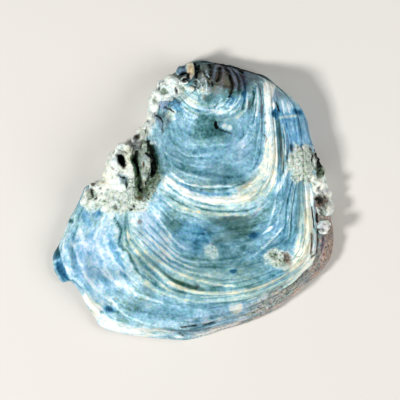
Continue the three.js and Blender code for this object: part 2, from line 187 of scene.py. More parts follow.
# Paint on bands of growth: layers with their values, strength, stages and rays. The layer "clear"
# stands for all the stains and the painted shade, and later rows lie over earlier ones.
BANDS = (
    ({"lined": 0.45}, 0.9, (0.14, 0.41), (8, 19.5)),
    ({"lined": 0.75}, 0.9, (0.4, 0.56), (2, 17)),
    ({"lined": 0.6}, 0.9, (0.6, 0.86), (11, 18)),
    ({"lined": 0.45}, 0.9, (0.62, 1), (4, 5.8)),
    # early, dished part
    ({"tone": 0.34}, 1, (-0.1, 0.13), (0, 24)),
    ({"tone": 0.74}, 0.8, (0.115, 0.165), (8, 17)),
    ({"tone": 0.47}, 0.8, (0.165, 0.36), (7.6, 19.6)),
    ({"azure": 0.4}, 0.7, (0.17, 0.38), (13.2, 18.4)),
    # the darkest part of the dish, below the umbo, is painted dark as shade
    ({"tone": 0.26}, 0.8, (0.155, 0.24), (10.2, 13.8)),
    ({"azure": 0}, 1, (0.155, 0.265), (9.8, 14.2)),
    ({"tone": 0.54}, 0.8, (0.15, 0.4), (3, 8)),
    ({"tone": 0.62, "lavender": 0.35}, 0.7, (0.25, 0.33), (7.8, 10.2)),
    ({"tone": 0.42}, 0.8, (0.34, 0.4), (9.2, 11.8)),
    ({"grime": 0.35}, 0.8, (0.34, 0.4), (9.4, 11.4)),
    ({"tone": 0.54}, 0.7, (0.37, 0.43), (11.4, 15.4)),
    # pale ledge
    ({"tone": 0.97}, 0.95, (0.385, 0.5), (2.8, 8.9)),
    ({"azure": 0}, 0.9, (0.39, 0.5), (2.6, 16)),
    ({"tone": 0.9}, 0.95, (0.42, 0.54), (2.2, 4.2)),
    ({"cream": 0.45}, 0.8, (0.39, 0.5), (6, 9)),
    ({"tone": 0.86}, 0.8, (0.405, 0.475), (8.4, 10.6)),
    ({"cream": 0.6}, 0.8, (0.4, 0.475), (8.2, 10.4)),
    ({"tone": 0.96}, 0.9, (0.432, 0.47), (9.4, 15.8)),
    ({"lined": 0.5}, 0.9, (0.43, 0.48), (9.4, 15.8)),
    ({"tone": 0.68}, 0.8, (0.468, 0.52), (8.8, 15.8)),
    ({"cream": 0.35}, 0.8, (0.468, 0.52), (9.8, 14.8)),
    # open field
    ({"tone": 0.38}, 0.9, (0.512, 0.605), (9.6, 12)),
    ({"azure": 0, "grime": 0.75}, 0.8, (0.512, 0.6), (9.8, 11.9)),
    ({"tone": 0.36}, 0.8, (0.54, 0.69), (11.8, 13.2)),
    ({"azure": 0.7}, 0.8, (0.54, 0.65), (11.8, 13.2)),
    ({"tone": 0.3, "grime": 0.5}, 0.8, (0.552, 0.592), (13, 14.4)),
    ({"tone": 0.76}, 0.8, (0.525, 0.6), (13.8, 16.4)),
    ({"azure": 0.5}, 0.7, (0.525, 0.6), (13.8, 16)),
    ({"tone": 0.34}, 0.8, (0.6, 0.7), (10, 12.2)),
    ({"grime": 0.35}, 0.8, (0.6, 0.745), (10, 13.4)),
    ({"tone": 0.8}, 0.8, (0.6, 0.745), (12.6, 18)),
    ({"lavender": 0.35}, 0.7, (0.6, 0.72), (12.6, 16)),
    ({"tone": 0.55}, 0.8, (0.54, 0.62), (7.8, 9.8)),
    ({"tone": 0.47}, 0.8, (0.62, 0.75), (6.6, 10.2)),
    ({"azure": 0.42}, 0.8, (0.56, 0.755), (6.4, 10.2)),
    ({"tone": 0.42, "azure": 0.6}, 0.8, (0.59, 0.71), (8.8, 10.3)),
    ({"cream": 0.45, "grime": 0.25}, 0.8, (0.69, 0.76), (6.4, 9)),
    ({"tone": 0.56}, 0.8, (0.69, 0.76), (10.4, 13)),
    ({"cream": 0.4}, 0.7, (0.7, 0.78), (10.2, 17)),
    # right and lower bands
    ({"tone": 0.86, "azure": 0.1}, 0.9, (0.715, 0.775), (7.2, 9.4)),
    ({"tone": 0.98, "azure": 0}, 1, (0.755, 0.84), (6.2, 9.6)),
    ({"cream": 0.35}, 0.9, (0.77, 0.83), (6.8, 9.8)),
    ({"tone": 0.74}, 0.9, (0.79, 0.85), (9.4, 12)),
    ({"cream": 0.4}, 0.8, (0.79, 0.85), (9.4, 12.4)),
    ({"tone": 0.5}, 0.9, (0.82, 0.93), (10.8, 13.8)),
    ({"azure": 0.45}, 0.8, (0.82, 0.93), (11.2, 13.6)),
    ({"tone": 0.74, "lined": 1}, 0.9, (0.8, 0.95), (13.6, 17.8)),
    ({"azure": 0.85}, 0.9, (0.825, 0.945), (14.4, 17.2)),
    ({"lavender": 0.25}, 0.8, (0.85, 0.93), (14.8, 17)),
    ({"tone": 0.92}, 0.95, (0.946, 1.1), (8.6, 12.4)),
    ({"rose": 0.75}, 0.9, (0.946, 1.1), (8.4, 12)),
    ({"umber": 0.08}, 0.8, (0.946, 1.1), (8.6, 11.6)),
    ({"speckle": 0.5}, 0.9, (0.95, 1), (8.6, 12.6)),
    ({"azure": 0}, 1, (0.95, 1.1), (8.6, 12.8)),
    ({"tone": 0.97}, 1, (0.94, 1.1), (12.4, 15)),
    ({"tone": 0.62}, 1, (0.94, 1.1), (15, 15.7)),
    ({"tone": 0.7}, 0.9, (0.94, 1.1), (16.5, 18.2)),
    ({"tone": 0.16}, 1, (0.956, 0.992), (15.4, 16.6)),
    ({"tone": 0.55}, 0.9, (0.988, 1.1), (15.4, 16.2)),
    ({"azure": 0.8}, 1, (0.952, 1.1), (15.3, 16.7)),
    ({"tone": 0.84}, 0.9, (0.845, 1.1), (6.6, 9.2)),
    ({"umber": 0.1}, 0.9, (0.86, 1.1), (7, 9.6)),
    ({"sand": 0.6}, 0.9, (0.88, 1.1), (7, 9.6)),
    ({"rose": 0.85}, 0.95, (0.845, 1.1), (6.6, 9.6)),
    ({"speckle": 0.75}, 0.95, (0.86, 0.985), (6.6, 9.4)),
    ({"azure": 0}, 0.95, (0.75, 1.1), (6.4, 9.6)),
    ({"azure": 0}, 0.9, (0.825, 0.95), (8.8, 10.8)),
    ({"tone": 0.66}, 0.8, (0.826, 0.85), (9.2, 11)),
    ({"grime": 0.35}, 0.8, (0.78, 0.85), (9.2, 11)),
    ({"sand": 0.55, "tone": 0.84}, 0.9, (0.838, 0.95), (8.8, 11)),
    ({"rose": 0.75}, 0.8, (0.85, 0.95), (8.6, 11)),
    ({"grime": 0.4}, 0.8, (0.838, 0.95), (8.8, 11)),
    ({"lined": 0.3}, 0.9, (0.838, 0.95), (8.6, 10.6)),
    ({"speckle": 0.8}, 0.95, (0.84, 0.95), (8.8, 11)),
    ({"tone": 0.62}, 0.8, (0.85, 0.905), (10.8, 12.4)),
    ({"tone": 0.8}, 0.8, (0.905, 0.95), (10.8, 13.4)),
    ({"azure": 0.25}, 0.8, (0.85, 0.95), (10.8, 12.4)),
    ({"lavender": 0.35}, 0.8, (0.85, 0.95), (10.6, 12.4)),
    ({"grime": 0.35}, 0.8, (0.9, 0.95), (10.8, 12.6)),
    ({"speckle": 0.4}, 0.95, (0.88, 0.955), (10.8, 13)),
    ({"umber": 0.22}, 0.9, (0.915, 1.1), (6.8, 8.6)),
    ({"rose": 1}, 0.9, (0.915, 1.1), (6.8, 9.2)),
    ({"clear": 0, "tone": 0.88, "cream": 0.45}, 0.9, (0.835, 0.88), (8, 10.2)),
    # right flank
    ({"tone": 0.3}, 0.8, (0.5, 0.64), (4.6, 6.4)),
    ({"grime": 0.6}, 0.7, (0.5, 0.56), (4.8, 7.2)),
    ({"umber": 0.55}, 0.7, (0.53, 0.57), (5.6, 6.8)),
    ({"azure": 0.8}, 0.8, (0.56, 0.68), (4.6, 6.2)),
    ({"tone": 0.54}, 0.9, (0.59, 1.02), (4.1, 5.5)),
    ({"azure": 0.95}, 0.9, (0.56, 1.02), (3.9, 5.6)),
    ({"tone": 0.64}, 0.8, (0.52, 1), (2.4, 4.1)),
    # steep back wall, its lower part darkened with brown stain and painted shade
    ({"tone": 0.52, "azure": 0.1, "grime": 0.35}, 0.8, (0.16, 1.02), (22.2, 26.4)),
    ({"lined": 1}, 0.9, (0.13, 1.02), (22.2, 26.8)),
    ({"umber": 0.18}, 0.9, (0.16, 1.02), (22.2, 25.8)),
    ({"umber": 0.65}, 0.9, (0.3, 0.96), (0.2, 3.4)),
    ({"void": 0.8}, 0.9, (0.52, 0.92), (0.4, 3)),
    ({"tone": 0.35, "lavender": 0.5}, 0.9, (0.16, 0.5), (0.6, 2.8)),
    ({"umber": 0.45}, 0.9, (0.16, 0.5), (0.2, 2.8)),
    # edge wall, lower right
    ({"tone": 0.88, "grime": 0.35, "speckle": 0.45}, 0.9, (1.004, 1.1), (6.6, 13)),
    # upper left
    ({"tone": 0.98}, 0.9, (0.36, 1.02), (19.4, 23.6)),
    ({"sand": 0.5}, 0.8, (0.42, 1.02), (19.4, 23.6)),
)

# Growth lines: layers with their values, strength, how far they rise, half width in stages, and a path
# of rays and stages.
LINES = (
    # dish
    ({"tone": 0.86}, 0.8, 0.1, 0.006, ((13.8, 0.176), (15.5, 0.182), (17, 0.18))),
    ({"tone": 0.78}, 0.6, 0, 0.004, ((13, 0.198), (15, 0.196), (16.6, 0.204))),
    ({"tone": 0.84}, 0.8, 0.05, 0.0032, ((11.8, 0.296), (12.6, 0.308), (13.6, 0.318), (14.8, 0.312))),
    ({"tone": 0.3}, 0.6, 0, 0.008, ((12.4, 0.29), (14, 0.3), (15.6, 0.3), (17, 0.312))),
    ({"tone": 0.78}, 0.6, 0, 0.004, ((11.6, 0.335), (13, 0.345), (15, 0.352), (16.4, 0.37))),
    ({"tone": 0.3}, 0.4, 0, 0.003, ((11.6, 0.362), (13.5, 0.372), (15.4, 0.368))),
    ({"tone": 0.82}, 0.7, 0, 0.004, ((11.6, 0.378), (13.5, 0.38), (15, 0.376))),
    ({"tone": 0.97}, 0.95, 0.2, 0.0045,
     ((9.6, 0.404), (11, 0.401), (12.4, 0.406), (13.1, 0.414), (14.5, 0.402))),
    ({"tone": 0.1}, 0.8, -0.15, 0.003, ((9.2, 0.398), (10, 0.404), (11, 0.41), (12.4, 0.415), (13.4, 0.42))),
    ({"azure": 1, "tone": 0.4}, 0.8, 0, 0.006, ((10.4, 0.425), (12, 0.428), (13.6, 0.424))),
    ({"umber": 0.45}, 0.8, 0, 0.01, ((8.8, 0.4), (9.6, 0.412), (10.1, 0.425))),
    ({"tone": 0.85}, 0.6, 0, 0.01, ((7.6, 0.26), (8.6, 0.285), (9.4, 0.32))),
    # right side of the dish
    ({"tone": 0.88}, 0.8, 0.1, 0.008, ((4, 0.2), (5, 0.212), (5.6, 0.224), (6.4, 0.202), (8, 0.194))),
    ({"cream": 0.7}, 0.8, 0, 0.006, ((5, 0.21), (6.4, 0.2), (8, 0.192))),
    ({"tone": 0.06}, 0.9, -0.2, 0.008, ((4, 0.15), (4.6, 0.174), (5.2, 0.194), (6, 0.198))),
    ({"tone": 0.82}, 0.8, 0.1, 0.008, ((4.2, 0.13), (4.8, 0.136), (5.3, 0.156))),
    ({"tone": 0.94}, 0.9, 0.1, 0.022, ((4, 0.285), (4.7, 0.285))),
    ({"tone": 0.2}, 0.8, -0.1, 0.018, ((4.3, 0.235), (5.4, 0.245))),
    ({"tone": 0.2}, 0.8, -0.1, 0.006, ((4.2, 0.332), (4.8, 0.314), (5.4, 0.3), (6.4, 0.285))),
    ({"umber": 0.9}, 0.9, -0.15, 0.006, ((4.4, 0.376), (4.8, 0.362), (5.4, 0.356), (6.2, 0.36))),
    ({"azure": 1, "tone": 0.35}, 0.8, 0, 0.022, ((3.4, 0.3), (3.9, 0.3))),
    ({"tone": 0.3}, 0.7, -0.1, 0.004, ((5.8, 0.335), (7, 0.322), (8, 0.33))),
    ({"tone": 0.85}, 0.7, 0.1, 0.004, ((5.8, 0.348), (7, 0.338), (8.2, 0.352), (8.8, 0.372))),
    # pale ledge
    ({"tone": 0.98}, 1, 0.3, 0.013, ((9, 0.446), (10.5, 0.455), (12, 0.45), (13, 0.44), (14.8, 0.43))),
    ({"tone": 0.3}, 0.8, -0.15, 0.005, ((11, 0.471), (12, 0.466), (13.5, 0.457), (14.4, 0.449))),
    ({"tone": 0.86}, 0.9, 0.1, 0.005,
     ((9.4, 0.474), (11, 0.48), (12.2, 0.475), (13.5, 0.466), (14.6, 0.474), (15.2, 0.492))),
    ({"tone": 0.12}, 0.9, -0.2, 0.0035, ((9.5, 0.5), (10.5, 0.495), (11.5, 0.487), (12.4, 0.482))),
    ({"tone": 0.12}, 0.9, -0.2, 0.004, ((12.4, 0.492), (13, 0.487), (14, 0.489))),
    ({"tone": 0.88}, 0.85, 0.15, 0.005, ((10, 0.512), (11.2, 0.5), (12.4, 0.496), (13.6, 0.5))),
    ({"cream": 0.8}, 0.85, 0, 0.006, ((10, 0.512), (11.2, 0.5), (12.4, 0.496), (13.6, 0.5))),
    ({"rose": 0.7}, 0.8, 0, 0.008, ((9.9, 0.524), (11.4, 0.512))),
    ({"tone": 0.84}, 0.8, 0.1, 0.0035, ((12, 0.518), (12.6, 0.508), (13.4, 0.514), (14.2, 0.51), (15, 0.52))),
    ({"tone": 0.22}, 0.7, -0.1, 0.003, ((12, 0.526), (12.6, 0.516), (13.4, 0.522), (14.4, 0.518))),
    ({"umber": 0.55}, 0.8, 0, 0.006, ((9.1, 0.5), (9.5, 0.515), (10, 0.53))),
    ({"grime": 0.6}, 0.7, -0.1, 0.004, ((8.1, 0.47), (8.8, 0.466), (9.8, 0.474))),
    ({"tone": 0.5}, 0.7, -0.1, 0.003, ((6, 0.41), (7.4, 0.42), (8.4, 0.44), (9.2, 0.462))),
    ({"tone": 0.55}, 0.7, -0.1, 0.003, ((4.4, 0.44), (6, 0.448), (7.4, 0.452), (8.6, 0.47))),
    # open field, left
    ({"tone": 0.84}, 0.8, 0.1, 0.004, ((13.4, 0.56), (14.6, 0.545), (15.6, 0.55))),
    ({"tone": 0.92}, 0.9, 0.15, 0.005, ((12.8, 0.632), (13.5, 0.612), (14.3, 0.59), (14.9, 0.584))),
    ({"tone": 0.3}, 0.7, -0.1, 0.0035, ((12.8, 0.643), (13.6, 0.624), (14.6, 0.606))),
    ({"tone": 0.86}, 0.8, 0.1, 0.004, ((12.9, 0.656), (14, 0.636), (15, 0.632))),
    ({"tone": 0.34}, 0.7, -0.1, 0.003, ((12.8, 0.666), (14, 0.646), (15, 0.642))),
    ({"tone": 0.86}, 0.8, 0.1, 0.004, ((12.4, 0.678), (13.4, 0.664), (14.4, 0.662), (15.4, 0.668))),
    ({"tone": 0.3}, 0.7, -0.1, 0.003, ((12.4, 0.688), (13.4, 0.674), (14.4, 0.672), (15.2, 0.678))),
    ({"tone": 0.88, "cream": 0.6}, 0.8, 0.1, 0.004,
     ((12.2, 0.698), (13, 0.686), (14.4, 0.684), (15.6, 0.694))),
    ({"tone": 0.26}, 0.7, -0.15, 0.003, ((12, 0.709), (13, 0.696), (14.4, 0.694), (15.6, 0.704))),
    ({"tone": 0.86}, 0.8, 0.1, 0.004, ((11.8, 0.722), (13, 0.706), (14.6, 0.708), (16, 0.722))),
    ({"tone": 0.3}, 0.7, -0.15, 0.0035,
     ((11.2, 0.738), (12, 0.728), (13, 0.714), (14.8, 0.718), (16, 0.734))),
    ({"tone": 0.9}, 0.85, 0.1, 0.014, ((15.6, 0.69), (16.4, 0.716))),
    # open field, right
    ({"tone": 0.97}, 0.95, 0.2, 0.004, ((9.1, 0.63), (9.6, 0.64), (10.1, 0.654), (10.5, 0.668))),
    ({"tone": 0.25}, 0.8, -0.1, 0.003, ((9.1, 0.638), (9.6, 0.649), (10.1, 0.664))),
    ({"tone": 0.92}, 0.8, 0.1, 0.006, ((8.3, 0.53), (9, 0.558), (9.6, 0.596))),
    ({"tone": 0.84}, 0.7, 0.1, 0.004, ((8, 0.56), (8.8, 0.584), (9.4, 0.622))),
    ({"tone": 0.97}, 0.95, 0.2, 0.016, ((6, 0.636), (6.6, 0.602), (7.2, 0.566), (7.8, 0.536), (8.2, 0.52))),
    ({"tone": 0.06}, 0.9, -0.2, 0.005,
     ((6.8, 0.668), (7.3, 0.632), (7.8, 0.613), (8.3, 0.612), (8.9, 0.64), (9.3, 0.66))),
    ({"cream": 0.7, "tone": 0.88}, 0.8, 0.1, 0.004,
     ((7, 0.68), (7.4, 0.656), (8, 0.642), (8.6, 0.652), (9.1, 0.678))),
    ({"tone": 0.06}, 0.9, -0.2, 0.005, ((6.9, 0.692), (7.4, 0.666), (8, 0.652), (8.6, 0.662), (9.2, 0.69))),
    ({"tone": 0.3}, 0.8, 0, 0.01, ((7.2, 0.7), (8, 0.68), (8.8, 0.7), (9.3, 0.722))),
    ({"tone": 0.8}, 0.7, 0, 0.008, ((7.2, 0.735), (8.2, 0.712), (9, 0.735))),
    ({"tone": 0.1}, 0.85, -0.1, 0.012, ((4.9, 0.622), (5.4, 0.65), (5.9, 0.666))),
    # ridge and its groove, the groove painted dark as shade
    ({"tone": 0.92, "cream": 0.7}, 0.9, 0.25, 0.005,
     ((11.2, 0.762), (12, 0.742), (13, 0.726), (13.6, 0.724), (14.2, 0.738), (15.5, 0.748), (16.5, 0.768))),
    ({"tone": 0.55}, 0.8, 0, 0.006,
     ((12.2, 0.748), (13.2, 0.738), (14, 0.744), (15.5, 0.758), (16.4, 0.776))),
    ({"tone": 0.3}, 0.8, -0.3, 0.006, ((10.4, 0.78), (11.4, 0.778), (12.2, 0.77))),
    ({"tone": 0.62}, 0.8, -0.1, 0.007, ((13.8, 0.754), (15, 0.764), (15.8, 0.772))),
    ({"tone": 0.12}, 0.9, -0.3, 0.006, ((12.2, 0.768), (12.7, 0.761), (13.2, 0.756))),
    ({"grime": 0.9}, 0.9, 0, 0.009, ((12, 0.77), (12.6, 0.762), (13.3, 0.754), (14, 0.753))),
    ({"tone": 0.93}, 0.95, 0.3, 0.009,
     ((9.2, 0.792), (10.5, 0.789), (12, 0.781), (13, 0.771), (14, 0.77), (15.4, 0.774), (16.4, 0.766))),
    ({"cream": 0.75}, 0.9, 0, 0.009,
     ((9.2, 0.792), (10.5, 0.789), (12, 0.781), (13, 0.771), (14, 0.77), (15.4, 0.774), (16.4, 0.766))),
    ({"tone": 0.25}, 0.7, -0.1, 0.003, ((12, 0.792), (13, 0.785), (14, 0.787), (15.5, 0.785), (16.6, 0.776))),
    ({"tone": 0.86}, 0.8, 0.1, 0.005, ((12.6, 0.798), (13.6, 0.793), (15, 0.796), (16.4, 0.786))),
    ({"cream": 0.6}, 0.8, 0, 0.006, ((12.6, 0.798), (13.6, 0.793), (15, 0.796), (16.4, 0.786))),
    ({"tone": 0.1}, 0.9, -0.2, 0.004,
     ((13.2, 0.802), (14.4, 0.811), (15.4, 0.796), (16, 0.804), (16.6, 0.792), (17, 0.803), (17.4, 0.815))),
    ({"azure": 1}, 0.8, 0, 0.01, ((14.5, 0.846), (15, 0.833), (15.4, 0.822), (16.2, 0.818))),
    ({"tone": 0.38}, 0.8, -0.1, 0.008, ((14.5, 0.846), (15, 0.833), (15.4, 0.822), (16.2, 0.818))),
    ({"umber": 0.55}, 0.9, -0.3, 0.0035, ((8.9, 0.958), (9.6, 0.962), (10.4, 0.96), (11.4, 0.955))),
    # outer band
    ({"cream": 0.8, "tone": 0.9}, 0.8, 0.1, 0.005, ((11, 0.83), (12, 0.822), (13, 0.812), (14, 0.822))),
    ({"tone": 0.34}, 0.7, -0.1, 0.003, ((10.4, 0.842), (12, 0.834), (13.2, 0.828))),
    ({"tone": 0.3}, 0.7, -0.1, 0.003, ((9.6, 0.816), (10.8, 0.806), (12.2, 0.804))),
    ({"tone": 0.34}, 0.7, -0.1, 0.003, ((9.8, 0.866), (11, 0.856), (12.2, 0.85))),
    ({"tone": 0.95}, 0.9, 0.1, 0.005, ((13.1, 0.845), (13.7, 0.849), (14.6, 0.864), (15, 0.88))),
    ({"tone": 0.95}, 0.9, 0.1, 0.005, ((14.7, 0.915), (15.1, 0.895), (15.3, 0.86))),
    ({"tone": 0.95}, 0.9, 0.1, 0.005, ((16.2, 0.88), (16.6, 0.895), (17.1, 0.914))),
    ({"tone": 0.92}, 0.8, 0.1, 0.004, ((15.4, 0.85), (16.4, 0.856), (17, 0.846))),
    ({"tone": 0.88}, 0.8, 0.1, 0.004, ((13, 0.93), (13.8, 0.918), (14.6, 0.93), (15.2, 0.938))),
    ({"tone": 0.34}, 0.7, -0.1, 0.007, ((13.2, 0.89), (14, 0.9), (14.6, 0.922))),
    ({"tone": 0.9}, 0.8, 0.1, 0.005, ((14.8, 0.94), (15.6, 0.95), (16.4, 0.952), (17, 0.96))),
    ({"tone": 0.42}, 0.7, 0, 0.008, ((15.6, 0.928), (16.4, 0.925), (17.2, 0.935))),
    ({"grime": 0.6}, 0.7, 0, 0.008, ((15.8, 0.932), (16.8, 0.928))),
    ({"void": 0.5}, 0.8, -0.2, 0.003, ((10.2, 0.925), (11, 0.92), (11.6, 0.916))),
    ({"void": 0.6}, 0.9, -0.3, 0.004, ((11.6, 0.944), (12.4, 0.94), (13, 0.944))),
)

